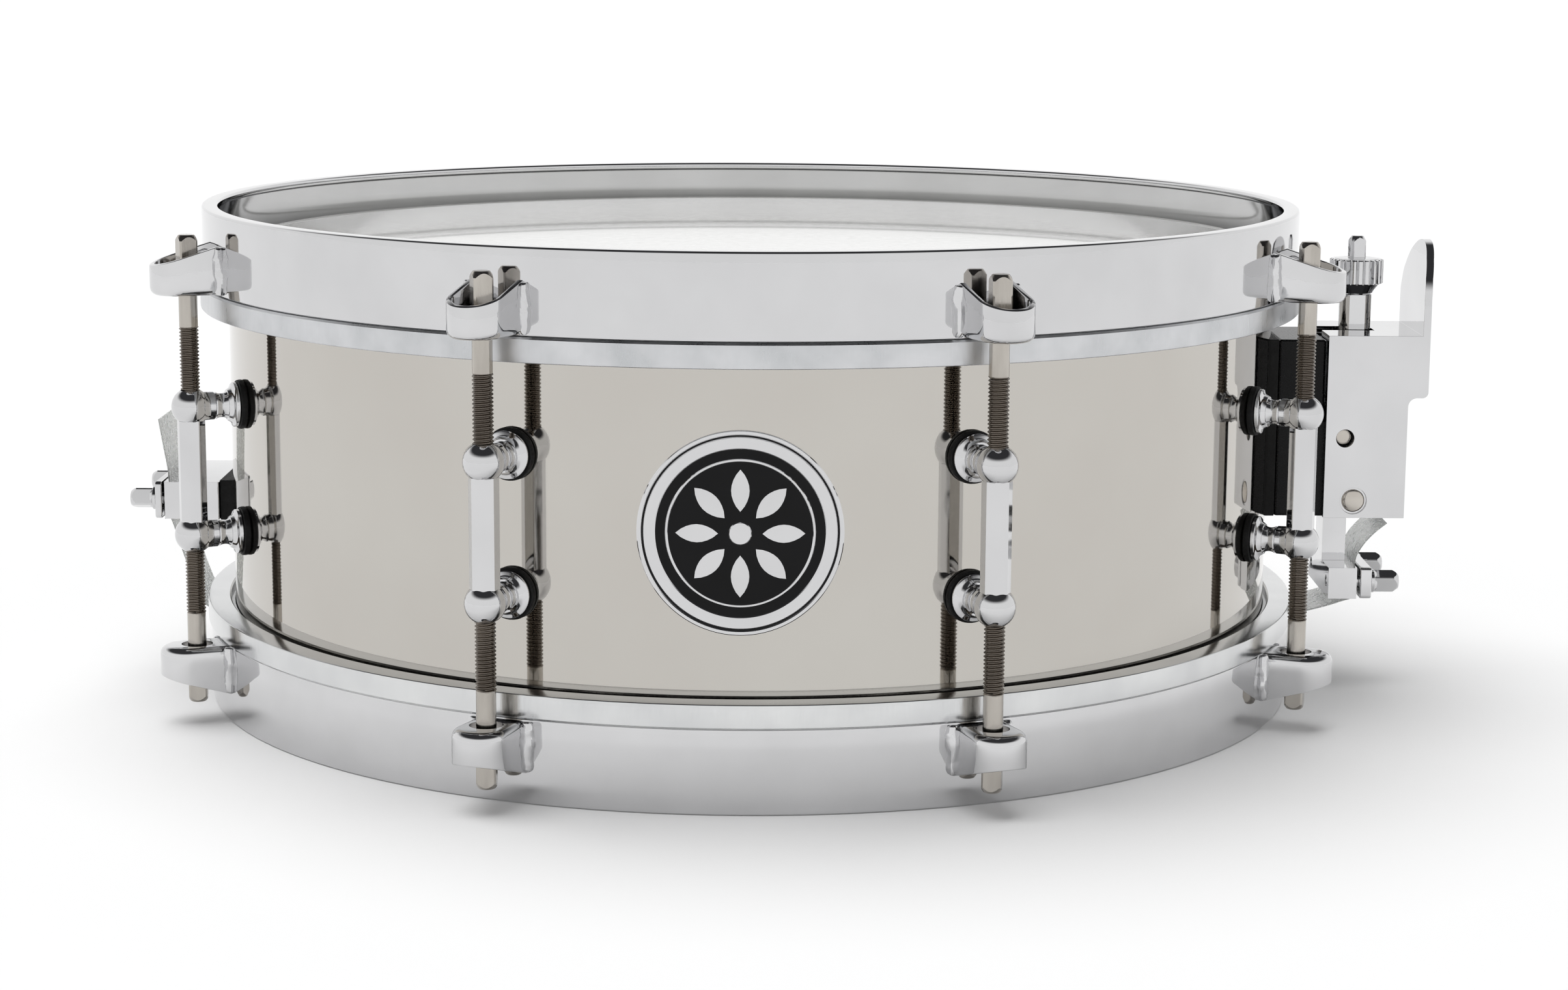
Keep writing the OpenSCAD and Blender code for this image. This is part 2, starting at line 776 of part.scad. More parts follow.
module butt_clamp_plate() {
    color("#c9c9c7") at_butt() difference() {
        box(butt_plate_x0, butt_plate_x1, butt_w, butt_v - butt_h / 2, butt_v + butt_h / 2);
        for (y = [-butt_screw_y, butt_screw_y])
            translate([0, y, butt_v]) rod_along_x(butt_plate_x0 - 1, butt_plate_x1 + 1, clamp_screw_r + 0.2);
    }
}

module butt_clamp_screws() {
    color("#b5b0a8") at_butt() for (y = [-butt_screw_y, butt_screw_y])
        translate([0, y, butt_v]) key_screw(butt_x1 - 10, butt_plate_x1, butt_screw_end);
}

// ---- Snares --------------------------------------------------------------------------------

// Shared run of a strap from an end plate, over the edge and out through the gate
plate_bottom = -(strand_v - strand_d / 2);
strap_v = plate_bottom - plate_t - strap_t / 2;
strap_inner_run = [
    [plate_x + 3, strap_v], [173, strap_v], [175.8, strap_v + 0.4],
    [178.6, -67.5], [180.4, -63.5], [183, -60.6], [187.5, -58.8]
];
clamp_gap_x = (clamp_x1 + clamp_plate_x0) / 2;
clamp_low = clamp_bottom + strainer_rise;
clamp_high = clamp_top + strainer_rise;
strap_strainer_run = concat(strap_inner_run, [
    [200, -55.4], [206.5, clamp_low - 2], [208.8, clamp_low - 1.2], [clamp_gap_x, clamp_low - 0.4],
    [clamp_gap_x, clamp_high + 0.5], [212, clamp_high + 5], [225, clamp_high + 16]
]);
butt_gap_x = (butt_x1 + butt_plate_x0) / 2;
strap_butt_run = concat(strap_inner_run, [
    [191, -54.5], [199.4, -28.5], [butt_gap_x, -26.2], [butt_gap_x, -12], [202.4, -3], [203.9, 8]
]);

module at_middle() {
    translate([0, 0, mid_z]) children();
}

module strainer_strap() {
    color("#dfe3e2") at_middle() band(strap_strainer_run, strap_t, strap_w);
}

module butt_strap() {
    color("#dfe3e2") at_butt() band(strap_butt_run, strap_t, strap_w);
}

module snare_plate() {
    box(plate_x, plate_x + plate_len, plate_w, plate_bottom - plate_t, plate_bottom);
}

module snare_plate_strainer_end() {
    color("#b08d57") at_middle() snare_plate();
}

module snare_plate_butt_end() {
    color("#b08d57") at_butt() snare_plate();
}

module snare_wires() {
    wire_x = plate_x - eps;
    color("#bdbdbd") at_middle() for (i = [0 : strand_count - 1])
        translate([0, (i - (strand_count - 1) / 2) * strand_pitch, -strand_v])
            rod_along_x(-wire_x, wire_x, strand_d / 2);
}

// ---- What is drawn -------------------------------------------------------------------------

shell();
vent_eyelet();
badge();
batter_head();
snare_side_head();
batter_flesh_hoop();
snare_side_flesh_hoop();
batter_hoop();
snare_side_hoop();
batter_hoop_cups();
snare_side_hoop_cups();
batter_rod(1);  // batter_rod_1
batter_rod(2);  // batter_rod_2
batter_rod(3);  // batter_rod_3
batter_rod(4);  // batter_rod_4
batter_rod(5);  // batter_rod_5
batter_rod(6);  // batter_rod_6
batter_rod(7);  // batter_rod_7
batter_rod(8);  // batter_rod_8
snare_rod(1);  // snare_rod_1
snare_rod(2);  // snare_rod_2
snare_rod(3);  // snare_rod_3
snare_rod(4);  // snare_rod_4
snare_rod(5);  // snare_rod_5
snare_rod(6);  // snare_rod_6
snare_rod(7);  // snare_rod_7
snare_rod(8);  // snare_rod_8
batter_rod_washers();
snare_rod_washers();
lug_ball_posts();
lug_tubes();
lug_gaskets();
lug_screws();
lug_screw_washers();
strainer_base();
strainer_gasket();
strainer_mounting_screws();
strainer_guide_pin();
strainer_lever();
strainer_pivot_pin();
strainer_cams();
strainer_carriage();
adjuster_collar();
adjuster_knob();
clamp_post();
snare_clamp_plate();
snare_clamp_screws();
strainer_strap();
butt_block();
butt_gasket();
butt_mounting_screws();
butt_clamp_plate();
butt_clamp_screws();
butt_strap();
snare_plate_strainer_end();
snare_plate_butt_end();
snare_wires();
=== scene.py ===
# %% [markdown]
# # A steel-shell snare drum
# The drum's measured parts are already built as a frame of CAD nodes. This lesson dresses them:
# each visible piece is made again with finer shape, or keeps its node and gets a real finish.

# %% Load the frame
import math

import bmesh
import bpy
from mathutils import Matrix, Quaternion, Vector, noise


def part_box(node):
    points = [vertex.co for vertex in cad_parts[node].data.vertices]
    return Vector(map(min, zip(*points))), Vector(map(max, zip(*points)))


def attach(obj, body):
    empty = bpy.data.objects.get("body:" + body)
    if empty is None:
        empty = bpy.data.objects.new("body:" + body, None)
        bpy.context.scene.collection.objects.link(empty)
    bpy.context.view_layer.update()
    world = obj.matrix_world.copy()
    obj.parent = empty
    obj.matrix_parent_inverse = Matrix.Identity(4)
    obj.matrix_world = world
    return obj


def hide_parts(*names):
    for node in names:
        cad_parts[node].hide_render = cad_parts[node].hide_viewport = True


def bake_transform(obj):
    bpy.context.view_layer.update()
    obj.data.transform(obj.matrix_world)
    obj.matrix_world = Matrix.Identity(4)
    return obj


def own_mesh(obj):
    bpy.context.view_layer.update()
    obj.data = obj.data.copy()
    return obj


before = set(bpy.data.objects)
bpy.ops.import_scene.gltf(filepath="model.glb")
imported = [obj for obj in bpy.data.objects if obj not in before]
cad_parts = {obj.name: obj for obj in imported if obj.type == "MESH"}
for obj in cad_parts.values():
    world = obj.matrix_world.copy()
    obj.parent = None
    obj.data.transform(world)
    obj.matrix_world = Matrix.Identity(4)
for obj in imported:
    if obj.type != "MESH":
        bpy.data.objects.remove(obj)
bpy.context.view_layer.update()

# %% [markdown]
# Shapes are drawn in millimetres, because a drum maker's drawing is, and are scaled once when a
# piece is finished. Heights called "v" are measured outwards from the middle of the shell, so one
# drawing serves the batter end and, turned over, the snare end.

# %% Sizes taken from the frame, in millimetres
MM = 0.001


def node_box(name):
    lo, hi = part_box(name)
    return lo / MM, hi / MM


shell_lo, shell_hi = node_box("shell")
SHELL_R = shell_hi.y
MID_Z = (shell_lo.z + shell_hi.z) / 2
HALF_H = (shell_hi.z - shell_lo.z) / 2
hoop_lo, hoop_hi = node_box("batter_hoop")
HOOP_R = hoop_hi.y
HOOP_V0 = hoop_lo.z - MID_Z
HOOP_V1 = hoop_hi.z - MID_Z
flesh_lo, flesh_hi = node_box("batter_flesh_hoop")
FLESH_R1 = flesh_hi.y
FLESH_V0 = flesh_lo.z - MID_Z
rod_lo, rod_hi = node_box("batter_rod_1")
ROD_R = math.hypot((rod_lo.x + rod_hi.x) / 2, (rod_lo.y + rod_hi.y) / 2)
ROD_TOP_V = rod_hi.z - MID_Z
ROD_END_V = rod_lo.z - MID_Z
LUGS = 8
BALL_V = 21.0
print("shell radius %.1f, half height %.2f, rods on radius %.1f" % (SHELL_R, HALF_H, ROD_R))

# %% [markdown]
# ## Helpers
# A finished piece is one mesh at the origin with its place in its points. Faces are smooth except
# across creases sharper than a set angle, which is how a turned or pressed part catches the light.

# %% From a bmesh in millimetres to a finished piece
CREASE = math.radians(32)


def tidy(bm, crease=CREASE):
    bmesh.ops.remove_doubles(bm, verts=bm.verts, dist=1e-4)
    bmesh.ops.dissolve_degenerate(bm, edges=bm.edges, dist=1e-5)
    bmesh.ops.recalc_face_normals(bm, faces=bm.faces)
    for face in bm.faces:
        face.smooth = True
    for edge in bm.edges:
        edge.smooth = not (edge.is_manifold and edge.calc_face_angle(0) > crease)
    return bm


def shift_new(bm, extruded, vec):
    """Move the vertices that an extrusion has just made."""
    made = [g for g in extruded["geom"] if isinstance(g, bmesh.types.BMVert)]
    bmesh.ops.translate(bm, vec=vec, verts=made)


def finish_piece(bm, name, body, material, replaces=(), crease=CREASE):
    tidy(bm, crease)
    bmesh.ops.scale(bm, vec=(MM, MM, MM), verts=bm.verts)
    mesh = bpy.data.meshes.new(name)
    bm.to_mesh(mesh)
    triangles = sum(len(f.verts) - 2 for f in bm.faces)
    bm.free()
    piece = bpy.data.objects.new(name, mesh)
    bpy.context.scene.collection.objects.link(piece)
    piece.data.materials.append(material)
    if body:
        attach(piece, body)
    if replaces:
        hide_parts(*replaces)
    print("%-24s %6d triangles" % (name, triangles))
    return piece


# %% Turned shapes: an outline spun about an axis
def add_outline(bm, points, closed=True):
    verts = [bm.verts.new(p) for p in points]
    last = len(verts) if closed else len(verts) - 1
    edges = [bm.edges.new((verts[i], verts[(i + 1) % len(verts)])) for i in range(last)]
    return verts + edges


def turned(outline, steps, closed=True):
    """Spin an outline of (radius, height) points once round Z."""
    bm = bmesh.new()
    geom = add_outline(bm, [(r, 0, h) for r, h in outline], closed)
    bmesh.ops.spin(bm, geom=geom, cent=(0, 0, 0), axis=(0, 0, 1), dvec=(0, 0, 0),
                   angle=math.tau, steps=steps, use_merge=True, use_normal_flip=False,
                   use_duplicate=False)
    return tidy(bm)


def arc(cx, cy, r, start, end, count=5):
    """Points of an arc in degrees, for a rounded corner in an outline."""
    angles = [math.radians(start + (end - start) * i / count) for i in range(count + 1)]
    return [(cx + r * math.cos(a), cy + r * math.sin(a)) for a in angles]


def join(target, part, matrix=None):
    """Add a copy of one bmesh to another, moved by a matrix."""
    mesh = bpy.data.meshes.new("join")
    part.to_mesh(mesh)
    if matrix is not None:
        mesh.transform(matrix)
        if matrix.determinant() < 0:
            mesh.flip_normals()
    target.from_mesh(mesh)
    bpy.data.meshes.remove(mesh)


def carve(bm, tool, operation="DIFFERENCE"):
    """Cut one bmesh with another, or join or intersect them, with an exact boolean."""
    objects = []
    for source in (bm, tool):
        mesh = bpy.data.meshes.new("carve")
        source.to_mesh(mesh)
        source.free()
        obj = bpy.data.objects.new("carve", mesh)
        bpy.context.scene.collection.objects.link(obj)
        objects.append(obj)
    body, cutter = objects
    modifier = body.modifiers.new("carve", "BOOLEAN")
    modifier.operation = operation
    modifier.solver = "EXACT"
    modifier.object = cutter
    graph = bpy.context.evaluated_depsgraph_get()
    result = bmesh.new()
    result.from_mesh(body.evaluated_get(graph).to_mesh())
    for obj in objects:
        mesh = obj.data
        bpy.data.objects.remove(obj)
        bpy.data.meshes.remove(mesh)
    return result


def cylinder(r, h0, h1, sides=32, r_top=None):
    bm = bmesh.new()
    bmesh.ops.create_cone(bm, cap_ends=True, segments=sides, radius1=r,
                          radius2=r if r_top is None else r_top, depth=h1 - h0,
                          matrix=Matrix.Translation((0, 0, (h0 + h1) / 2)))
    return bm


def block(x0, x1, y0, y1, z0, z1):
    bm = bmesh.new()
    centre = Matrix.Translation(((x0 + x1) / 2, (y0 + y1) / 2, (z0 + z1) / 2))
    bmesh.ops.create_cube(bm, size=1, matrix=centre @ Matrix.Diagonal((x1 - x0, y1 - y0, z1 - z0, 1)))
    return bm


# %% [markdown]
# Every fitting repeats eight times round the drum, half a step off the strainer's axis. Turning a
# piece half over about its own radius makes the snare-side one and keeps its thread right-handed.

# %% Places round the drum
TURN_OVER = Matrix.Rotation(math.pi, 4, "X")
TO_RADIUS = Matrix.Rotation(math.pi / 2, 4, "Y")


def end_place(end):
    place = Matrix.Translation((0, 0, MID_Z))
    return place if end == "batter" else place @ TURN_OVER


def lug_place(i):
    return Matrix.Rotation((i + 0.5) * math.tau / LUGS, 4, "Z")


def lug_end_place(i, end):
    lift = Matrix.Translation((0, 0, MID_Z))
    return lift @ lug_place(i) @ (Matrix.Identity(4) if end == "batter" else TURN_OVER)


# %% [markdown]
# ## Finishes
# Each finish starts from what the surface is and how it was made. Metals keep their own colour
# and differ mostly in how rough the last operation left them.

# %% Colour and node helpers
def srgb(hex_colour):
    """An sRGB hex colour as linear RGBA."""
    out = []
    for i in (0, 2, 4):
        c = int(hex_colour.lstrip("#")[i:i + 2], 16) / 255
        out.append(c / 12.92 if c <= 0.04045 else ((c + 0.055) / 1.055) ** 2.4)
    return (*out, 1.0)


def add_node(tree, kind, settings=None, **inputs):
    """Add a node, set its properties and sockets, and link any socket given as an output."""
    node = tree.nodes.new(kind)
    for key, value in (settings or {}).items():
        setattr(node, key, value)
    for key, value in inputs.items():
        numbered = key[0] == "i" and key[1:].isdigit()
        socket = node.inputs[int(key[1:]) if numbered else key.replace("_", " ")]
        if isinstance(value, bpy.types.NodeSocket):
            tree.links.new(value, socket)
        else:
            socket.default_value = value
    return node


def new_material(name):
    material = bpy.data.materials.new(name)
    material.use_nodes = True
    tree = material.node_tree
    tree.nodes.clear()
    output = tree.nodes.new("ShaderNodeOutputMaterial")
    shader = tree.nodes.new("ShaderNodeBsdfPrincipled")
    tree.links.new(shader.outputs[0], output.inputs[0])
    return material, tree, shader


def pattern(tree, size_mm, stretch=(1, 1, 1), detail=3.0, roughness=0.5):
    """Noise on Object coordinates with features of a real size, stretched along an axis."""
    coords = add_node(tree, "ShaderNodeTexCoord")
    scale = tuple(s / (size_mm * MM) for s in stretch)
    mapping = add_node(tree, "ShaderNodeMapping", Vector=coords.outputs["Object"], Scale=scale)
    return add_node(tree, "ShaderNodeTexNoise", Vector=mapping.outputs[0], Scale=1.0,
                    Detail=detail, Roughness=roughness).outputs[0]


def spread(tree, value, low, high, new_low, new_high):
    """Map a pattern's middle range to a range of roughness or tint."""
    return add_node(tree, "ShaderNodeMapRange", Value=value, From_Min=low, From_Max=high,
                    To_Min=new_low, To_Max=new_high).outputs[0]


def tint(tree, value, dark, light):
    mix = add_node(tree, "ShaderNodeMix", {"data_type": "RGBA"})
    tree.links.new(value, mix.inputs[0])
    mix.inputs[6].default_value = srgb(dark)
    mix.inputs[7].default_value = srgb(light)
    return mix.outputs[2]


def relief(tree, shader, height, depth_mm, strength=1.0):
    bump = add_node(tree, "ShaderNodeBump", Height=height, Distance=depth_mm * MM, Strength=strength)
    tree.links.new(bump.outputs[0], shader.inputs["Normal"])


# %% Metal finishes
def metal(name, dark, light, rough, smear_mm=25.0, grain_mm=0.4, grain_depth=0.0, stretch=(1, 1, 1)):
    """Polished or drawn metal: faint cloudy tint, smeared gloss and, if asked, a fine grain."""
    material, tree, shader = new_material(name)
    shader.inputs["Metallic"].default_value = 1.0
    cloud = pattern(tree, smear_mm)
    tree.links.new(tint(tree, spread(tree, cloud, 0.3, 0.7, 0, 1), dark, light), shader.inputs["Base Color"])
    grain = pattern(tree, grain_mm, stretch, detail=2.0)
    both = add_node(tree, "ShaderNodeMath", {"operation": "ADD"}, i0=cloud, i1=grain).outputs[0]
    tree.links.new(spread(tree, both, 0.6, 1.4, rough[0], rough[1]), shader.inputs["Roughness"])
    if grain_depth:
        relief(tree, shader, grain, grain_depth)
    return material


# Chromium plate over polished steel: almost a mirror, cool grey, smeared by handling
chrome = metal("chrome_plate_polished", "#CBCBCC", "#D1D1D2", (0.03, 0.06))
# Cast fittings polished by hand before plating keep a slight orange-peel
chrome_cast = metal("chrome_plate_on_casting", "#C9C9CA", "#D6D6D7", (0.03, 0.08),
                    grain_mm=2.4, grain_depth=0.008)
# Stainless sheet with a mirror finish: warmer and darker than chrome
stainless = metal("stainless_sheet_mirror", "#BEBAB4", "#C2BFB9", (0.03, 0.06), smear_mm=60.0)
# Aluminium ring brushed across its height: upright scratches
aluminium = metal("aluminium_brushed", "#BDBFC1", "#D2D3D5", (0.24, 0.42), smear_mm=14.0,
                  grain_mm=0.6, grain_depth=0.02, stretch=(1, 1, 0.08))
aluminium_smooth = metal("aluminium_satin", "#C9CACB", "#D9DADA", (0.12, 0.24), smear_mm=20.0,
                         grain_mm=0.5, grain_depth=0.006, stretch=(1, 1, 0.1))
# Nickel over drawn steel rod: warm grey with lengthways draw lines
nickel = metal("nickel_plate_bright", "#B7B1A9", "#C6C1BA", (0.12, 0.22), smear_mm=9.0,
               grain_mm=0.35, grain_depth=0.006, stretch=(1, 1, 0.06))


def threaded_rod_finish():
    """Nickel that is bright on the plain shank and painted darker over the thread, as painted shade of its
    grooves.
    """
    material, tree, shader = new_material("nickel_plate_threaded_rod")
    shader.inputs["Metallic"].default_value = 1.0
    place = add_node(tree, "ShaderNodeTexCoord").outputs["Object"]
    up = add_node(tree, "ShaderNodeSeparateXYZ", Vector=place).outputs[2]
    off_middle = add_node(tree, "ShaderNodeMath", {"operation": "SUBTRACT"}, i0=up, i1=MID_Z * MM).outputs[0]
    outwards = add_node(tree, "ShaderNodeMath", {"operation": "ABSOLUTE"}, i0=off_middle).outputs[0]
    thread_end = 46.9 * MM
    plain = spread(tree, outwards, thread_end, thread_end + 0.3 * MM, 0, 1)
    cloud = spread(tree, pattern(tree, 5.0, stretch=(1, 1, 0.2)), 0.3, 0.7, 0, 1)
    bright = tint(tree, cloud, "#AAA59E", "#BDB8B1")
    # Painted shade: the threaded length gets a darker colour to stand in for the shade in the thread's
    # grooves
    thread_shade = tint(tree, cloud, "#6C655E", "#817A72")
    mix = add_node(tree, "ShaderNodeMix", {"data_type": "RGBA"})
    tree.links.new(plain, mix.inputs[0])
    tree.links.new(thread_shade, mix.inputs[6])
    tree.links.new(bright, mix.inputs[7])
    tree.links.new(mix.outputs[2], shader.inputs["Base Color"])
    draw_lines = pattern(tree, 0.35, stretch=(1, 1, 0.06))
    tree.links.new(spread(tree, draw_lines, 0.3, 0.7, 0.14, 0.24), shader.inputs["Roughness"])
    return material


threaded_rod = threaded_rod_finish()
zinc = metal("zinc_plate_bright", "#A9ACAE", "#C4C6C8", (0.22, 0.38), smear_mm=4.0,
             grain_mm=0.6, grain_depth=0.01)
spring = metal("spring_wire_drawn", "#9A9A98", "#BEBEBC", (0.2, 0.34), smear_mm=5.0)
brass = metal("brass_stamping", "#B08D4F", "#CFAF72", (0.2, 0.36), smear_mm=6.0)


# %% Rubber, enamel and film
def surface(name, dark, light, rough, size_mm, depth_mm, stretch=(1, 1, 1), **sockets):
    """Non-metal finish: two close colours in patches, gloss that varies, and a fine relief."""
    material, tree, shader = new_material(name)
    patches = pattern(tree, size_mm * 6)
    tree.links.new(tint(tree, spread(tree, patches, 0.3, 0.7, 0, 1), dark, light),
                   shader.inputs["Base Color"])
    fine = pattern(tree, size_mm, stretch)
    tree.links.new(spread(tree, fine, 0.3, 0.7, rough[0], rough[1]), shader.inputs["Roughness"])
    relief(tree, shader, fine, depth_mm)
    for socket, value in sockets.items():
        shader.inputs[socket.replace("_", " ")].default_value = value
    return material


rubber = surface("rubber_moulded", "#080808", "#101010", (0.45, 0.7), 0.7, 0.03, Specular_IOR_Level=0.2)
black_cast = surface("powder_coat_black", "#050506", "#0A0A0B", (0.22, 0.34), 0.5, 0.006,
                     Specular_IOR_Level=0.16)
enamel = surface("enamel_black_gloss", "#060607", "#0B0B0D", (0.06, 0.12), 2.0, 0.002,
                 Specular_IOR_Level=0.16)
# White polyester film: a glossy sheet that mirrors the hoop at a low angle
coated_film = surface("polyester_film_white", "#CFCFCC", "#D5D5D2", (0.08, 0.16), 3.0, 0.003,
                      Coat_Weight=0.6, Coat_Roughness=0.03)
clear_film = surface("polyester_film_clear", "#E8ECEE", "#F2F4F5", (0.05, 0.12), 3.0, 0.004,
                     Transmission_Weight=0.75, IOR=1.57)
strap_film = surface("polyester_strap", "#F0F2F0", "#F8FAF8", (0.2, 0.3), 1.5, 0.004,
                     Transmission_Weight=0.7, Specular_IOR_Level=0.3)
print("finishes:", len(bpy.data.materials))

# %% [markdown]
# ## Shell
# The shell is one sheet rolled, welded and polished. Its edges are turned in at 45 degrees, so the
# outline is a thin wall with two short flanges. Spun in fine steps it reflects without facets.

# %% Shell with its air vent
WALL = 1.2
EDGE_TURN = 3.0
ROUND_STEPS = 288


def shell_outline():
    v = HALF_H - EDGE_TURN
    flange = WALL * math.sin(math.radians(45))
    miter = WALL * math.tan(math.radians(22.5))
    rows = [(SHELL_R, v * k / 6) for k in range(-6, 7)]
    outer = rows + [(SHELL_R - EDGE_TURN * 0.3, HALF_H - EDGE_TURN * 0.62), (SHELL_R - EDGE_TURN, HALF_H)]
    lip = [(SHELL_R - EDGE_TURN - flange, HALF_H - flange)]
    inner = [(SHELL_R - WALL, v - miter), (SHELL_R - WALL, miter - v)]
    foot = [(SHELL_R - EDGE_TURN - flange, flange - HALF_H), (SHELL_R - EDGE_TURN, -HALF_H),
            (SHELL_R - EDGE_TURN * 0.3, EDGE_TURN * 0.62 - HALF_H)]
    return outer + lip + inner + foot


def make_shell():
    bm = bmesh.new()
    join(bm, turned(shell_outline(), ROUND_STEPS), end_place("batter"))
    vent = cylinder(5.5, 165, 190, 48)
    bmesh.ops.transform(vent, matrix=Matrix.Translation((0, 0, MID_Z)) @ Matrix.Rotation(-math.pi / 2, 4,
            "X"),
                        verts=vent.verts)
    return finish_piece(carve(bm, vent), "shell_sheet", "drum", stainless, ["shell"])


make_shell()

# %% [markdown]
# The vent is a two-part eyelet closed through the wall like a rivet: a rolled flange outside, a
# smaller clenched one inside.

# %% Vent eyelet
def make_vent():
    bore, flange, wall_in, wall_out = 4.5, 9.0, SHELL_R - 1.7, SHELL_R + 0.02
    outline = ([(bore, wall_in - 1.2), (bore, wall_out + 0.4)]
               + arc(bore + 0.5, wall_out + 0.4, 0.5, 180, 90, 4)
               + arc(flange - 0.5, wall_out + 0.5, 0.5, 80, 0, 4) + [(flange, wall_out), (5.45, wall_out)]
               + [(5.45, wall_in), (7.4, wall_in), (7.2, wall_in - 0.9), (bore + 0.4, wall_in - 1.3)])
    bm = bmesh.new()
    turn = Matrix.Translation((0, 0, MID_Z)) @ Matrix.Rotation(-math.pi / 2, 4, "X")
    join(bm, turned(outline, 64), turn)
    return finish_piece(bm, "vent_eyelet_rolled", "drum", chrome, ["vent_eyelet"])


vent = make_vent()

# %% [markdown]
# ## Heads
# A drumhead is a polyester film with a formed collar that drops over the bearing edge into the
# flesh hoop. The collar's bend is a small arc, so light rolls over it.

# %% Batter and snare-side films
FILM = 0.3
FILM_R = SHELL_R + 0.3


def film_outline():
    top = HALF_H + 0.02
    groove = FLESH_V0 + 2.2
    flat_r = SHELL_R - EDGE_TURN
    under = [(0, top), (flat_r - 6, top), (flat_r, top), (FILM_R, HALF_H - EDGE_TURN), (FILM_R, groove),
             (FILM_R + 2.2, groove)]
    over = [(FILM_R + 2.2, groove + FILM), (FILM_R + FILM, groove + FILM),
            (FILM_R + FILM, HALF_H - EDGE_TURN + 0.1)]
    bend = [(flat_r + 1.7, top - 1.0), (flat_r + 0.9, top - 0.1), (flat_r - 0.2, top + FILM),
            (flat_r - 6, top + FILM)]
    return under + over + bend + [(0, top + FILM)]


def make_head(end, name, node, material):
    bm = bmesh.new()
    join(bm, turned(film_outline(), ROUND_STEPS // 2, closed=False), end_place(end))
    return finish_piece(bm, name, "drum", material, [node], crease=math.radians(60))


make_head("batter", "batter_film", "batter_head", coated_film)
make_head("snare", "snare_side_film", "snare_side_head", clear_film)

# %% [markdown]
# ## Hoops
# Each flesh hoop is an extruded aluminium ring, and each counter hoop a steel band whose outer
# edge is turned in to a round-edged land. Both are turned shapes with small rounded corners.

# %% Flesh hoops
def flesh_outline():
    r0, r1, v0, v1 = SHELL_R + 1.6, FLESH_R1, FLESH_V0, HOOP_V0
    bevel, top_bevel = 0.5, 0.6
    return ([(r0, v0 + bevel)] + [(r0 + bevel, v0)] + arc(r1 - bevel, v0 + bevel, bevel, -90, 0, 3)
            + [(r1, v1 - top_bevel), (r1 - top_bevel * 0.8, v1), (r0, v1)])


def make_flesh_hoop(end, name, node, material):
    bm = bmesh.new()
    join(bm, turned(flesh_outline(), ROUND_STEPS), end_place(end))
    return finish_piece(bm, name, "drum", material, [node], crease=math.radians(25))


make_flesh_hoop("batter", "batter_flesh_ring", "batter_flesh_hoop", aluminium)
make_flesh_hoop("snare", "snare_flesh_ring", "snare_side_flesh_hoop", aluminium_smooth)


# %% Counter hoops, the lower one slotted for the snare straps
BAND = 2.8
LAND = 2.7
GATE_W = 42.0
GATE_H = 5.0


def hoop_outline():
    r0, r1, v0, v1 = HOOP_R - BAND, HOOP_R, HOOP_V0, HOOP_V1
    land_r, land_v, e = r0 - LAND, v1 - 2.4, 0.9
    outside = [(r0 + 0.3, v0)] + arc(r1 - 0.6, v0 + 0.6, 0.6, -90, 0, 4)
    outside += [(r1, v0 + (v1 - v0) * k / 4) for k in range(1, 4)]
    crown = arc(r1 - e, v1 - e, e, 0, 90, 5)
    land = arc(land_r + e, v1 - e, e, 90, 180, 5) + arc(land_r + 0.6, land_v + 0.6, 0.6, 180, 270, 3)
    return outside + crown + land + arc(r0 - 0.8, land_v - 0.8, 0.8, 90, 0, 3)


def make_hoop(end, name, node):
    bm = bmesh.new()
    join(bm, turned(hoop_outline(), ROUND_STEPS), end_place(end))
    if end == "snare":
        top = MID_Z - HOOP_V0 + 1
        bm = carve(bm, block(-220, 220, -GATE_W / 2, GATE_W / 2, MID_Z - HOOP_V0 - GATE_H, top))
    return finish_piece(bm, name, "drum", chrome, [node])


make_hoop("batter", "batter_counter_hoop", "batter_hoop")
make_hoop("snare", "snare_counter_hoop", "snare_side_hoop")

# %% [markdown]
# ## Claw cups
# A pressed cup is welded to the hoop at each rod. Its outline is a flat-sided nose, its floor
# carries the rod's washer, and its rim slopes up to the hoop. A hand-laid weld bead runs up each
# side: a short column whose radius wanders, because the torch paused as it went.

# %% One cup and its weld beads
EAR_W = 17.5
NOSE = 12.0
REACH = ROD_R - HOOP_R
FLOOR_V = HOOP_V0 + 0.6
FLOOR_T = 2.0
CUP_WALL = 1.8
NOSE_V = 67.3
ROOT_V = 73.5
WASHER_V = FLOOR_V + FLOOR_T


def cup_loop(inset, back):
    r = EAR_W / 2 - inset
    nose = arc(NOSE - EAR_W / 2, 0, r, -90, 90, 28)
    return [(back, -r)] + nose + [(back, r)]


def cup_solid():
    """Outline drawn up, its lower edge rounded, and its rim cut on the slope."""
    bm = bmesh.new()
    verts = [bm.verts.new((x, y, FLOOR_V)) for x, y in cup_loop(0, -REACH - 1.2)]
    bm.faces.new(verts)
    bmesh.ops.subdivide_edges(bm, edges=[e for e in bm.edges if e.calc_length() > 5], cuts=2)
    up = bmesh.ops.extrude_face_region(bm, geom=list(bm.faces))
    shift_new(bm, up, (0, 0, 20))
    bottom = [e for e in bm.edges if all(abs(v.co.z - FLOOR_V) < 1e-4 for v in e.verts)
              and not all(v.co.x < -REACH for v in e.verts)]
    bmesh.ops.bevel(bm, geom=bottom, offset=2.6, offset_type="OFFSET", segments=5, profile=0.5,
                    affect="EDGES", material=-1, clamp_overlap=True)
    slope = Vector((NOSE_V - ROOT_V, 0, -(REACH + NOSE)))
    bmesh.ops.bisect_plane(bm, geom=bm.verts[:] + bm.edges[:] + bm.faces[:], plane_co=(NOSE, 0, NOSE_V),
                           plane_no=slope, clear_inner=True, dist=1e-4)
    rim = [e for e in bm.edges if e.is_boundary]
    bmesh.ops.contextual_create(bm, geom=rim)
    return tidy(bm)


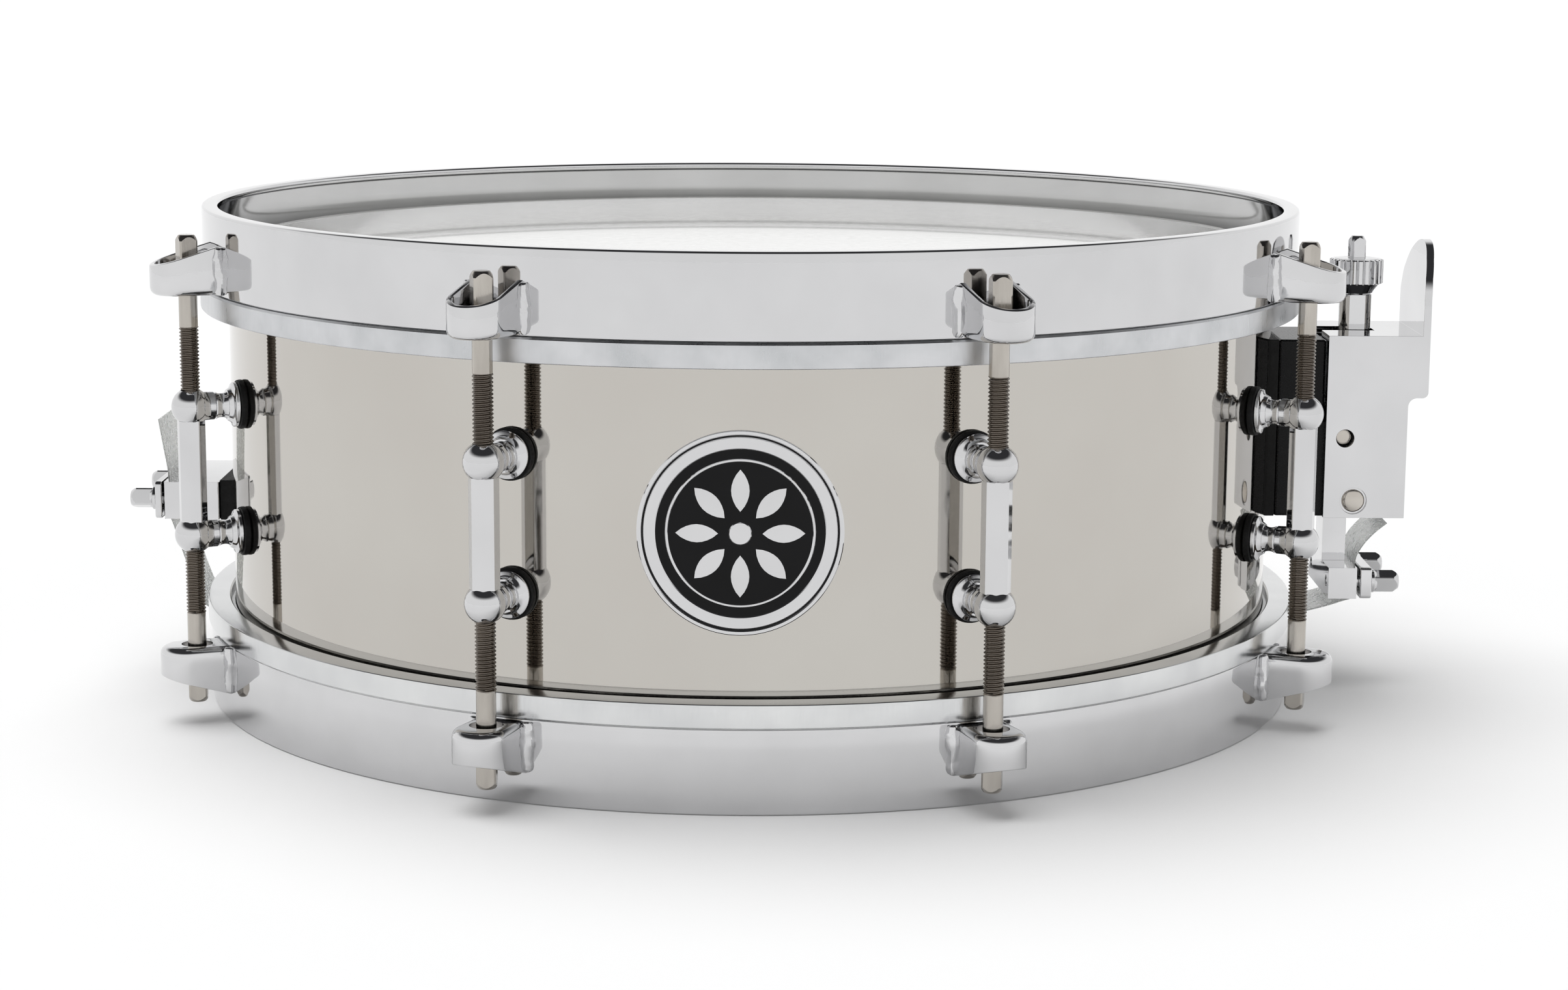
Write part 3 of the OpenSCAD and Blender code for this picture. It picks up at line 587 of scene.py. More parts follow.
def cup_hollow():
    bm = bmesh.new()
    verts = [bm.verts.new((x, y, WASHER_V)) for x, y in cup_loop(CUP_WALL, -REACH - 0.2)]
    bm.faces.new(verts)
    up = bmesh.ops.extrude_face_region(bm, geom=list(bm.faces))
    shift_new(bm, up, (0, 0, 30))
    return tidy(bm)


def weld_bead(side, seed):
    rings, sides = 22, 14
    bm = bmesh.new()
    bmesh.ops.create_uvsphere(bm, u_segments=sides, v_segments=rings, radius=1.0)
    half = (ROOT_V - FLOOR_V) / 2 - 0.3
    for v in bm.verts:
        direction = Vector((v.co.x, v.co.y, 0))
        girth = direction.length ** 0.35 if direction.length > 1e-6 else 0
        direction = direction.normalized() if direction.length > 1e-6 else direction
        z = v.co.z * half
        ripple = noise.noise(Vector((direction.x * 0.9 + seed, direction.y * 0.9, z * 0.16)))
        pool = noise.noise(Vector((seed * 3.1, direction.x, z * 0.75)))
        v.co = direction * (1.95 + 0.75 * ripple + 0.35 * pool) * girth
        v.co.z = z + (FLOOR_V + ROOT_V) / 2 - 0.2
    bmesh.ops.translate(bm, vec=(-REACH + 0.35, side * (EAR_W / 2 + 0.15), 0), verts=bm.verts)
    return tidy(bm, math.pi)


def make_cups(end, name, node):
    cup = carve(cup_solid(), cup_hollow())
    cup = tidy(carve(cup, cylinder(5.1, FLOOR_V - 3, FLOOR_V + 8, 40)))
    sharp = [e for e in cup.edges if e.is_manifold and e.calc_face_angle(0) > math.radians(50)
             and min(v.co.z for v in e.verts) > WASHER_V + 2 and max(v.co.x for v in e.verts) > -REACH]
    bmesh.ops.bevel(cup, geom=sharp, offset=0.45, offset_type="OFFSET", segments=2, profile=0.5,
                    affect="EDGES", material=-1, clamp_overlap=True)
    bm = bmesh.new()
    to_rod = Matrix.Translation((ROD_R, 0, 0))
    for i in range(LUGS):
        place = lug_end_place(i, end) @ to_rod
        join(bm, cup, place)
        for side in (-1, 1):
            bead = weld_bead(side, seed=i * 2.7 + side)
            join(bm, bead, place)
            bead.free()
    cup.free()
    return finish_piece(bm, name, "drum", chrome_cast, [node])


make_cups("batter", "batter_claw_cups", "batter_hoop_cups")
make_cups("snare", "snare_claw_cups", "snare_side_hoop_cups")

# %% [markdown]
# ## Tension rods
# A rod is turned from square stock: the square is left as the drum-key head, its top is chamfered
# in the lathe, which leaves an arc on each flat, and the shank below is threaded. The thread is a
# real helix: one tooth of the outline is spun with a rise of one pitch per turn.

# %% Rod shape
KEY = 5.9
SHANK_R = 3.0
THREAD_R = 3.15
PITCH = 1.155
THREAD_V = 47.0
HEAD_V = WASHER_V + 1.52


def key_head(length, flats=KEY):
    """Square drive with eased corners, cut to an arc-topped dome by a turned outline."""
    square = block(-flats / 2, flats / 2, -flats / 2, flats / 2, -length, 0)
    upright = [e for e in square.edges if abs(e.verts[0].co.z - e.verts[1].co.z) > 1]
    bmesh.ops.bevel(square, geom=upright, offset=0.55, offset_type="OFFSET", segments=3, profile=0.5,
                    affect="EDGES", material=-1)
    corner_r = flats * 0.645
    dome = turned([(0, 0)] + arc(flats / 2 - 0.75, -0.6, 0.6, 90, 40, 3)
                  + [(corner_r, -1.9), (corner_r, -length - 1), (0, -length - 1)], 48, closed=False)
    return tidy(carve(square, dome, "INTERSECT"))


def screw_thread(r, pitch, low, high):
    """Helical 60 degree thread from low to high."""
    depth = pitch * 0.42
    turns = int((high - low) / pitch)
    tooth = [(r - depth, 0), (r - depth, pitch * 0.12), (r, pitch * 0.46), (r, pitch * 0.62),
             (r - depth, pitch * 0.98),
             (r - depth, pitch)]
    bm = bmesh.new()
    steps = 20
    geom = add_outline(bm, [(x, 0, high - pitch * turns + z - pitch) for x, z in tooth], closed=False)
    bmesh.ops.spin(bm, geom=geom, cent=(0, 0, 0), axis=(0, 0, 1), dvec=(0, 0, pitch / steps),
                   angle=math.tau * turns, steps=steps * turns, use_merge=False, use_normal_flip=False,
                   use_duplicate=False)
    bmesh.ops.remove_doubles(bm, verts=bm.verts, dist=0.01)
    bmesh.ops.holes_fill(bm, edges=[e for e in bm.edges if e.is_boundary], sides=0)
    return tidy(bm, math.radians(28))


def make_rod_shape():
    bm = bmesh.new()
    join(bm, screw_thread(THREAD_R, PITCH, ROD_END_V, THREAD_V + 0.6))
    shank = ([(0, THREAD_V - 0.4), (SHANK_R - 0.25, THREAD_V - 0.4), (SHANK_R, THREAD_V + 0.1)]
             + [(SHANK_R, HEAD_V), (4.75, HEAD_V + 0.05), (4.9, HEAD_V + 0.4)]
             + arc(5.6, HEAD_V + 3.4, 2.6, 245, 190, 5) + [(2.8, HEAD_V + 4.4), (0, HEAD_V + 4.4)])
    join(bm, turned(shank, 40, closed=False))
    head = key_head(ROD_TOP_V - HEAD_V - 1.0)
    join(bm, head, Matrix.Translation((0, 0, ROD_TOP_V)))
    head.free()
    return bm


def make_rods():
    shape = make_rod_shape()
    for end, prefix, turn, start in (("batter", "batter_rod", 37, 0), ("snare", "snare_rod", 53, 20)):
        for i in range(LUGS):
            bm = bmesh.new()
            spin = Matrix.Rotation(math.radians((i + 1) * turn + start), 4, "Z")
            join(bm, shape, lug_end_place(i, end) @ Matrix.Translation((ROD_R, 0, 0)) @ spin)
            name = "%s_%d" % (prefix, i + 1)
            finish_piece(bm, name + "_threaded", name, threaded_rod, [name],
                         crease=math.radians(26))
    shape.free()


make_rods()

# %% [markdown]
# The washer under each head is dished, so the head's flare centres itself in it.

# %% Washers
def make_washers(end, name, node):
    v, r, hole = WASHER_V, 6.0, 3.1
    outline = [(hole, v), (r - 0.3, v), (r, v + 0.25), (r - 0.3, v + 0.6), (r - 1.4, v + 1.15),
               (4.6, v + 1.5),
               (hole + 0.3, v + 1.5), (hole, v + 1.2)]
    shape = turned(outline, 40)
    bm = bmesh.new()
    for i in range(LUGS):
        join(bm, shape, lug_end_place(i, end) @ Matrix.Translation((ROD_R, 0, 0)))
    shape.free()
    return finish_piece(bm, name, "drum", nickel, [node])


make_washers("batter", "batter_dished_washers", "batter_rod_washers")
make_washers("snare", "snare_dished_washers", "snare_rod_washers")

# %% [markdown]
# ## Lugs
# A lug is two posts turned from bar, each a ball on a waisted neck with a stepped foot, and an
# eight-sided tube held between the balls. The ball is bored upright for its rod.

# %% Ball posts
BALL_R = 6.25
FOOT_X = 180.0


def make_posts():
    ball_x = ROD_R - FOOT_X
    outline = [(0, 0.0), (6.9, 0.0), (7.25, 0.35), (7.25, 1.3), (6.9, 1.65), (6.1, 1.8), (5.6, 2.3),
               (5.0, 3.3)]
    outline += arc(7.4, 5.2, 3.5, 212, 150, 5) + [(4.15, 7.3), (4.55, 7.7), (4.6, 9.2)]
    outline += arc(0, ball_x, BALL_R, -48, 90, 22)[1:]
    post = bmesh.new()
    join(post, turned([(r, h) for r, h in outline], 48, closed=False), TO_RADIUS)
    bmesh.ops.translate(post, vec=(FOOT_X - ROD_R, 0, 0), verts=post.verts)
    post = tidy(carve(tidy(post), cylinder(THREAD_R + 0.07, -10, 10, 40)))
    bm = bmesh.new()
    for i in range(LUGS):
        for v in (-BALL_V, BALL_V):
            join(bm, post, lug_end_place(i, "batter") @ Matrix.Translation((ROD_R, 0, v)))
    post.free()
    return finish_piece(bm, "lug_posts_turned", "drum", chrome, ["lug_ball_posts"],
                        crease=math.radians(40))


make_posts()


# %% Eight-sided tubes between the balls
TUBE_ACROSS = 8.5


def make_tubes():
    half = BALL_V - 4.4
    tube = cylinder(TUBE_ACROSS / 2 / math.cos(math.pi / 8), -half, half, 8)
    bmesh.ops.rotate(tube, matrix=Matrix.Rotation(math.pi / 8, 3, "Z"), verts=tube.verts)
    uprights = [e for e in tube.edges if abs(e.verts[0].co.z - e.verts[1].co.z) > 1]
    bmesh.ops.bevel(tube, geom=uprights, offset=0.22, offset_type="OFFSET", segments=2, profile=0.5,
                    affect="EDGES", material=-1)
    tube = tidy(carve(tube, cylinder(3.5, -half - 1, half + 1, 32)))
    bm = bmesh.new()
    for i in range(LUGS):
        join(bm, tube, lug_end_place(i, "batter") @ Matrix.Translation((ROD_R, 0, 0)))
    tube.free()
    return finish_piece(bm, "lug_octagon_tubes", "drum", chrome, ["lug_tubes"],
                        crease=math.radians(12))


make_tubes()


# %% Rubber pads under the posts
def make_pads():
    outline = [(2.3, -2.25), (7.6, -2.25), (8.0, -1.9), (8.05, -1.1), (7.9, -0.3), (7.55, 0.0), (2.3, 0.0)]
    pad = bmesh.new()
    join(pad, turned(outline, 48), Matrix.Translation((FOOT_X, 0, 0)) @ TO_RADIUS)
    bm = bmesh.new()
    for i in range(LUGS):
        for v in (-BALL_V, BALL_V):
            join(bm, pad, lug_end_place(i, "batter") @ Matrix.Translation((0, 0, v)))
    pad.free()
    for v in bm.verts:
        v.co += v.normal * 0.06 * noise.noise(v.co * 0.9)
    return finish_piece(bm, "lug_rubber_pads", "drum", rubber, ["lug_gaskets"])


make_pads()

# %% [markdown]
# ## Machined and cast hardware
# The strainer and butt are mostly blocks and bent plate. Their shape in the frame is right but has
# knife edges, and no cast or bent part has those. A merged copy of each gets its flat faces joined
# up again and a small rounded bevel, which draws the bright line that light leaves on an edge.

# %% Rounded copies of plain nodes
def merged_copy(node):
    """A node's triangles merged and its flat faces joined up again, in millimetres."""
    bm = bmesh.new()
    bm.from_mesh(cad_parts[node].data)
    bmesh.ops.remove_doubles(bm, verts=bm.verts, dist=2e-6)
    bmesh.ops.dissolve_limit(bm, angle_limit=math.radians(1.0), use_dissolve_boundaries=False,
                             verts=bm.verts, edges=bm.edges, delimit={"NORMAL"})
    bmesh.ops.scale(bm, vec=(1 / MM,) * 3, verts=bm.verts)
    return bm


def rounded(node, body, material, width_mm, bends=None, bend_r=0, tight=False):
    """A copy with chosen edges rounded to a radius, and a small bevel on every other sharp edge.

    Where small faces crowd the edges, tight keeps the bevel from running over them."""
    bm = merged_copy(node)
    if bends:
        edges = [e for e in bm.edges if e.is_manifold and e.calc_face_angle(0) > 1.2 and bends(e)]
        bmesh.ops.bevel(bm, geom=edges, offset=bend_r, offset_type="OFFSET", segments=5, profile=0.5,
                        affect="EDGES", material=-1, clamp_overlap=True)
    piece = finish_piece(bm, node + "_eased", body, material, [node], crease=math.radians(30))
    bevel = piece.modifiers.new("eased edges", "BEVEL")
    bevel.width = width_mm * MM
    bevel.segments = 3
    bevel.limit_method = "ANGLE"
    bevel.angle_limit = math.radians(40)
    bevel.use_clamp_overlap = tight
    bevel.harden_normals = True
    return piece


lever_lo = node_box("strainer_lever")[0]


def along(edge, axis):
    a, b = (v.co for v in edge.verts)
    return abs((b - a).normalized()[axis]) > 0.99


rounded("strainer_base", "drum", black_cast, 0.9)
rounded("strainer_gasket", "drum", rubber, 0.3)
rounded("strainer_lever", "throw_lever", chrome, 0.45, tight=True)
rounded("strainer_carriage", "carriage", zinc, 0.3)
rounded("clamp_post", "clamp", chrome_cast, 0.45, tight=True)
rounded("snare_clamp_plate", "clamp", chrome_cast, 0.6, lambda e: along(e, 0), 1.2)
rounded("butt_block", "drum", chrome_cast, 0.5, lambda e: along(e, 0) or along(e, 1), 2.2)
rounded("butt_clamp_plate", "drum", chrome_cast, 0.5, lambda e: along(e, 0), 1.5)
rounded("butt_gasket", "drum", rubber, 0.4)
rounded("snare_plate_strainer_end", "drum", brass, 0.3)
rounded("snare_plate_butt_end", "drum", brass, 0.3)
rounded("adjuster_collar", "carriage", chrome, 0.4)

# %% [markdown]
# ## Strainer knob
# The adjuster is turned from bar: a cone opens to a fluted grip, and a square drive on top takes a
# drum key. The flutes are cut with a round tool, so the grip's outline is a circle with scallops.

# %% Fluted knob
knob_lo, knob_hi = node_box("adjuster_knob")
KNOB_X = (knob_lo.x + knob_hi.x) / 2
GRIP_R = (knob_hi.y - knob_lo.y) / 2
FLUTES = 26


def fluted_grip(v0, v1):
    """A fine circle whose points dip into the flutes, drawn up, with eased ends."""
    per_flute = 8
    bm = bmesh.new()
    bmesh.ops.create_circle(bm, cap_ends=True, segments=FLUTES * per_flute, radius=GRIP_R)
    up = bmesh.ops.extrude_face_region(bm, geom=list(bm.faces))
    shift_new(bm, up, (0, 0, v1 - v0))
    caps = [f for f in bm.faces if len(f.verts) > 4]
    bmesh.ops.inset_region(bm, faces=caps, thickness=0.0, depth=0.0, use_even_offset=True)
    bmesh.ops.inset_individual(bm, faces=[f for f in bm.faces if len(f.verts) > 4], thickness=0.7, depth=0.35)
    for v in bm.verts:
        angle = math.atan2(v.co.y, v.co.x)
        r = math.hypot(v.co.x, v.co.y)
        if r > GRIP_R - 0.3:
            dip = 0.75 * max(0.0, math.cos(angle * FLUTES)) ** 1.5
            v.co.x *= (r - dip) / r
            v.co.y *= (r - dip) / r
    bmesh.ops.translate(bm, vec=(0, 0, v0), verts=bm.verts)
    return tidy(bm)


def make_knob():
    base = knob_lo.z - MID_Z
    top = knob_hi.z - MID_Z
    foot = top - 19.6
    grip0, grip1 = foot + 3.6, foot + 11.4
    bm = bmesh.new()
    stem = [(0, base), (2.2, base), (2.5, base + 0.4), (2.5, foot), (5.7, foot), (6.0, foot + 0.3),
            (6.2, foot + 0.9), (GRIP_R - 0.9, grip0 - 0.2), (GRIP_R - 1.2, grip0 + 1), (0, grip0 + 1)]
    join(bm, turned(stem, 64, closed=False))
    join(bm, fluted_grip(grip0, grip1))
    crown = [(0, grip1 - 1), (7.6, grip1 - 1), (7.4, grip1 + 0.45), (5.2, grip1 + 0.75), (4.6, grip1 + 0.7),
             (0, grip1 + 0.6)]
    join(bm, turned(crown, 64, closed=False))
    drive = key_head(top - grip1 - 0.2, 4.9)
    join(bm, drive, Matrix.Translation((0, 0, top)) @ Matrix.Rotation(math.radians(12), 4, "Z"))
    drive.free()
    bmesh.ops.transform(bm, matrix=Matrix.Translation((KNOB_X, 0, MID_Z)), verts=bm.verts)
    return finish_piece(bm, "adjuster_knob_fluted", "adjuster", chrome, ["adjuster_knob"])


make_knob()

# %% [markdown]
# The lever's pivot is a pin with domed ends set in countersinks. Behind it a plain pin, seen
# through a clearance hole, keeps the carriage straight.

# %% Pins
pin_lo, pin_hi = node_box("strainer_pivot_pin")
guide_lo, guide_hi = node_box("strainer_guide_pin")


def make_pin(name, body, lo, hi, shaft_r, head_r, head_h, dome, node):
    half = (hi.y - lo.y) / 2
    centre = (lo + hi) / 2
    rim = half - head_h
    outline = [(0, -rim), (shaft_r, -rim), (shaft_r, rim), (head_r, rim), (head_r, half - 0.9 * dome)]
    outline += [(head_r * math.cos(math.radians(a)), half - dome * (1 - math.sin(math.radians(a))))
                for a in range(15, 91, 15)]
    bm = bmesh.new()
    top = turned(outline, 48, closed=False)
    along_y = Matrix.Translation(centre) @ Matrix.Rotation(math.pi / 2, 4, "X")
    join(bm, top, along_y)
    join(bm, top, along_y @ Matrix.Rotation(math.pi, 4, "X"))
    top.free()
    return finish_piece(bm, name, body, nickel, [node])


make_pin("lever_pivot_domed", "throw_lever", pin_lo, pin_hi, 2.5, 3.9, 1.5, 0.95, "strainer_pivot_pin")
make_pin("guide_pin_plain", "drum", guide_lo, guide_hi, 2.5, 2.5, 1.0, 0.2, "strainer_guide_pin")


# %% Drum-key screws of the two clamps
def make_key_screws(node, name, body, sign):
    lo, hi = node_box(node)
    half_y = (hi.y - lo.y) / 2 - 4.0
    z = (lo.z + hi.z) / 2
    inner, outer = (lo.x, hi.x) if sign > 0 else (-hi.x, -lo.x)
    plate = node_box("snare_clamp_plate" if sign > 0 else "butt_clamp_plate")
    seat = plate[1].x if sign > 0 else -plate[0].x
    shape = bmesh.new()
    outline = [(0, inner), (1.8, inner), (2.0, inner + 0.3), (2.0, seat), (3.8, seat), (4.0, seat + 0.25),
               (4.0, seat + 1.2), (3.6, seat + 1.6), (3.2, seat + 2.2), (0, seat + 2.2)]
    join(shape, turned(outline, 40, closed=False))
    drive = key_head(outer - seat - 0.8)
    join(shape, drive, Matrix.Translation((0, 0, outer)) @ Matrix.Rotation(math.radians(20), 4, "Z"))
    drive.free()
    bm = bmesh.new()
    for y in (-half_y, half_y):
        side = Matrix.Identity(4) if sign > 0 else Matrix.Rotation(math.pi, 4, "Z")
        join(bm, shape, Matrix.Translation((0, y, z)) @ side @ TO_RADIUS)
    shape.free()
    return finish_piece(bm, name, body, chrome, [node])


make_key_screws("snare_clamp_screws", "snare_clamp_key_screws", "clamp", 1)
make_key_screws("butt_clamp_screws", "butt_clamp_key_screws", "drum", -1)

# %% [markdown]
# ## Snares
# Twenty steel strands are wound like springs and soldered to brass end plates. Each strand is a
# thin three-sided wire on a helix: at this size three sides already look round.

# %% Coiled strands
wire_lo, wire_hi = node_box("snare_wires")
STRANDS = 20


def make_strands():
    coil_r = (wire_hi.z - wire_lo.z) / 2
    wire_r, pitch, steps = 0.24, 2.5, 8
    turns = int((wire_hi.x - wire_lo.x) / pitch)
    strand = bmesh.new()
    ring = bmesh.ops.create_circle(strand, cap_ends=False, segments=3, radius=wire_r,
                                   matrix=Matrix.Translation((coil_r - wire_r, 0,
                                           0)) @ Matrix.Rotation(math.pi / 2, 4, "X"))
    geom = ring["verts"] + list(strand.edges)
    bmesh.ops.spin(strand, geom=geom, cent=(0, 0, 0), axis=(0, 0, 1), dvec=(0, 0, pitch / steps),
                   angle=math.tau * turns, steps=steps * turns, use_merge=False, use_normal_flip=False,
                   use_duplicate=False)
    bmesh.ops.holes_fill(strand, edges=[e for e in strand.edges if e.is_boundary], sides=0)
    length = pitch * turns
    bm = bmesh.new()
    span = wire_hi.y - wire_lo.y - 2 * coil_r
    z = (wire_lo.z + wire_hi.z) / 2
    for i in range(STRANDS):
        y = span * (i / (STRANDS - 1) - 0.5)
        place = Matrix.Translation((-length / 2, y, z)) @ TO_RADIUS @ Matrix.Rotation(i * 1.9, 4, "Z")
        join(bm, strand, place)
    strand.free()
    return finish_piece(bm, "coiled_snare_strands", "drum", spring, ["snare_wires"],
                        crease=math.pi)


make_strands()

# %% [markdown]
# The straps are ribbons of polyester film. Each runs from its end plate, round the shell's edge,
# through the gate in the hoop and up through its clamp, and its free end springs away. The strainer
# side is made in two lengths, split where its run towards the strainer begins, and its free end is carried by
# the clamp.

# %% Straps
plate_lo = node_box("snare_plate_strainer_end")[0]
STRAP_V = plate_lo.z - MID_Z - 0.25
STRAP_W = 27.0
STRAP_T = 0.5
INNER_RUN = [(153, STRAP_V), (164, STRAP_V), (172.5, STRAP_V), (175.8, STRAP_V + 0.4), (178.6, -67.5),
             (180.4, -63.5),
             (183, -60.6), (187.5, -58.8)]
clamp_lo, clamp_hi = node_box("snare_clamp_plate")
CLAMP_HALF_GAP = 0.55
GRIP_X = clamp_lo.x - CLAMP_HALF_GAP
GRIP_LOW = clamp_lo.z - MID_Z
GRIP_HIGH = clamp_hi.z - MID_Z
STRAINER_RUN = [(194, -57.0), (200, -55.4), (205.5, GRIP_LOW - 2.4), (208.4, GRIP_LOW - 1.5),
                (GRIP_X, GRIP_LOW - 0.3),
                (GRIP_X, GRIP_LOW + 2), (GRIP_X, GRIP_HIGH)]
# The free end stops short of the lever by more than the clamp's own rise
TAIL_CLEAR = 3.4
TAIL_RISE = lever_lo.z - clamp_hi.z - TAIL_CLEAR
TAIL_RUN = [(GRIP_X, GRIP_HIGH), (GRIP_X + 0.5, GRIP_HIGH + 0.2 * TAIL_RISE),
            (GRIP_X + 3, GRIP_HIGH + 0.5 * TAIL_RISE),
            (GRIP_X + 6.5, GRIP_HIGH + 0.77 * TAIL_RISE), (GRIP_X + 10.5, GRIP_HIGH + TAIL_RISE)]
butt_hi = node_box("butt_clamp_plate")[1]
BUTT_HALF_GAP = 0.4
BUTT_X = -butt_hi.x - BUTT_HALF_GAP
BUTT_RUN = [(191, -54.5), (BUTT_X - 5, -41), (BUTT_X - 1.4, -29.5), (BUTT_X - 0.1, -26), (BUTT_X, -23),
            (BUTT_X, -12),
            (BUTT_X + 0.4, -8), (BUTT_X + 1.4, -2), (BUTT_X + 2.9, 7.4)]


def smooth_path(points, per_span=6):
    """Catmull-Rom through the points, so a springy ribbon has no kinks."""
    ends = [points[0]] + points + [points[-1]]
    out = []
    for a, b, c, d in zip(ends, ends[1:], ends[2:], ends[3:]):
        for k in range(per_span):
            t = k / per_span
            out.append(tuple(0.5 * (2 * q + (r - p) * t + (2 * p - 5 * q + 4 * r - s) * t * t
                                    + (3 * q - p - 3 * r + s) * t ** 3)
                             for p, q, r, s in zip(a, b, c, d)))
    return out + [points[-1]]


def ribbon(points, sign=1):
    bm = bmesh.new()
    verts = [bm.verts.new((sign * x, -STRAP_W / 2, MID_Z + v)) for x, v in points]
    edges = [bm.edges.new(pair) for pair in zip(verts, verts[1:])]
    across = bmesh.ops.extrude_edge_only(bm, edges=edges)
    shift_new(bm, across, (0, STRAP_W, 0))
    long_edges = [e for e in bm.edges if abs(e.verts[0].co.y - e.verts[1].co.y) > 1]
    bmesh.ops.subdivide_edges(bm, edges=long_edges, cuts=3, use_grid_fill=True)
    bmesh.ops.recalc_face_normals(bm, faces=bm.faces)
    bmesh.ops.solidify(bm, geom=list(bm.faces), thickness=STRAP_T)
    return bm


path = smooth_path(INNER_RUN + STRAINER_RUN)
SPLIT_X = 194.0
split = next(i for i, p in enumerate(path) if p[0] >= SPLIT_X - 1e-6)
inner_strap = finish_piece(ribbon(path[:split + 1]), "strainer_strap_inner", None, strap_film,
                           crease=math.radians(60))
outer_strap = finish_piece(ribbon(path[split:]), "strainer_strap_outer", None, strap_film,
                           ["strainer_strap"], crease=math.radians(60))
strap_tail = finish_piece(ribbon(smooth_path(TAIL_RUN)), "strainer_strap_tail", "clamp", strap_film,
                          crease=math.radians(60))
finish_piece(ribbon(smooth_path(INNER_RUN + BUTT_RUN), -1), "butt_strap_film", "drum", strap_film,
             ["butt_strap"], crease=math.radians(60))

# %% [markdown]
# ## Badge
# A stamped disc bent to the shell: a bright rim, a thin black line, a bright band, and a black
# enamel centre. The mark in it is a plain rosette of eight petals, one for each lug.

# %% Badge rings
BADGE_R = 30.5


def bend_to_shell(bm, lift):
    """Wrap a disc drawn in X and Z, with Y as its height, onto the front of the shell."""
    for v in bm.verts:
        r = SHELL_R + lift + v.co.y
        v.co.y = -math.sqrt(r * r - v.co.x * v.co.x)
        v.co.z += MID_Z
    return bm


def disc_ring(r0, r1, h0, h1, rows=4, steps=160):
    """A raised ring with eased edges; rows across it let it follow the bend."""
    e = min(0.25, (r1 - r0) / 4)
    top = [(r1 - e - (r1 - r0 - 2 * e) * k / rows, h1) for k in range(rows + 1)]
    outline = [(r1, h0), (r1, h1 - e)] + top
    if r0 > 0:
        outline += [(r0, h1 - e), (r0, h0)]
    else:
        outline += [(0, h1), (0, h0)]
    shape = turned(outline, steps, closed=r0 > 0)
    bm = bmesh.new()
    join(bm, shape, Matrix.Rotation(math.pi / 2, 4, "X"))
    shape.free()
    bmesh.ops.scale(bm, vec=(1, -1, 1), verts=bm.verts)
    bmesh.ops.recalc_face_normals(bm, faces=bm.faces)
    return bm


def make_badge():
    lift = 0.02
    silver = bmesh.new()
    for r0, r1, h in ((29.15, BADGE_R, 0.8), (25.0, 28.6, 0.72)):
        join(silver, bend_to_shell(disc_ring(r0, r1, 0.05, h), lift))
    black = bend_to_shell(disc_ring(0, 29.6, 0, 0.45, rows=24), lift)
    finish_piece(black, "badge_enamel_field", "drum", enamel, ["badge"])
    finish_piece(silver, "badge_bright_rings", "drum", chrome)


def petal(length, width, rows=8):
    """A lens-shaped petal pointing up, flat-topped with eased sides."""
    side = [(width / 2 * math.sin(math.pi * k / rows) ** 0.8, length * k / rows) for k in range(rows + 1)]
    loop = side + [(-x, z) for x, z in reversed(side[1:-1])]
    bm = bmesh.new()
    bm.faces.new([bm.verts.new((x, 0, z)) for x, z in loop])
    up = bmesh.ops.extrude_face_region(bm, geom=list(bm.faces))
    shift_new(bm, up, (0, 0.72, 0))
    return bm


def make_rosette():
    bm = bmesh.new()
    for i in range(LUGS):
        place = Matrix.Rotation(math.tau * i / LUGS, 4, "Y") @ Matrix.Translation((0, 0, 6.5))
        leaf = petal(12.5, 5.4)
        join(bm, leaf, place)
        leaf.free()
    join(bm, disc_ring(0, 3.4, 0.05, 0.72, rows=3, steps=48))
    join(bm, disc_ring(21.2, 22.2, 0.05, 0.62, rows=1))
    return finish_piece(bend_to_shell(bm, 0.02), "badge_rosette", "drum", chrome)


make_badge()
make_rosette()

# %% [markdown]
# ## Hidden hardware
# Screws and washers inside the shell and the strainer's cams keep their own shape. They need only
# the right finish.

# %% Finishes for the nodes that stay
KEPT = {"lug_screws": zinc, "lug_screw_washers": zinc, "strainer_mounting_screws": zinc,
        "butt_mounting_screws": zinc, "strainer_cams": zinc}
for node_name, finish in KEPT.items():
    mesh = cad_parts[node_name].data
    mesh.materials.clear()
    mesh.materials.append(finish)
print("kept nodes:", ", ".join(KEPT))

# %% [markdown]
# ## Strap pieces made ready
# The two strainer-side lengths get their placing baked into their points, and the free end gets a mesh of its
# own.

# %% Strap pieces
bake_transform(inner_strap)
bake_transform(outer_strap)
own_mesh(strap_tail)

# %% [markdown]
# ## Studio
# A wide pale floor, one broad soft light overhead and a white tent whose roof is dark. Polished metal
# shows only what surrounds it, so the tent's dark roof draws its black accents.

# %% Floor, lights and cards
def stage_plane(name, size, centre, rotation, material):
    bm = bmesh.new()
    bmesh.ops.create_grid(bm, x_segments=1, y_segments=1, size=0.5)
    bmesh.ops.scale(bm, vec=(size[0], size[1], 1), verts=bm.verts)
    bmesh.ops.rotate(bm, matrix=Matrix.Rotation(rotation[0], 3, "X"), verts=bm.verts)
    bmesh.ops.rotate(bm, matrix=Matrix.Rotation(rotation[1], 3, "Z"), verts=bm.verts)
    bmesh.ops.translate(bm, vec=centre, verts=bm.verts)
    mesh = bpy.data.meshes.new(name)
    bm.to_mesh(mesh)
    bm.free()
    plane = bpy.data.objects.new(name, mesh)
    bpy.context.scene.collection.objects.link(plane)
    plane.data.materials.append(material)
    return plane


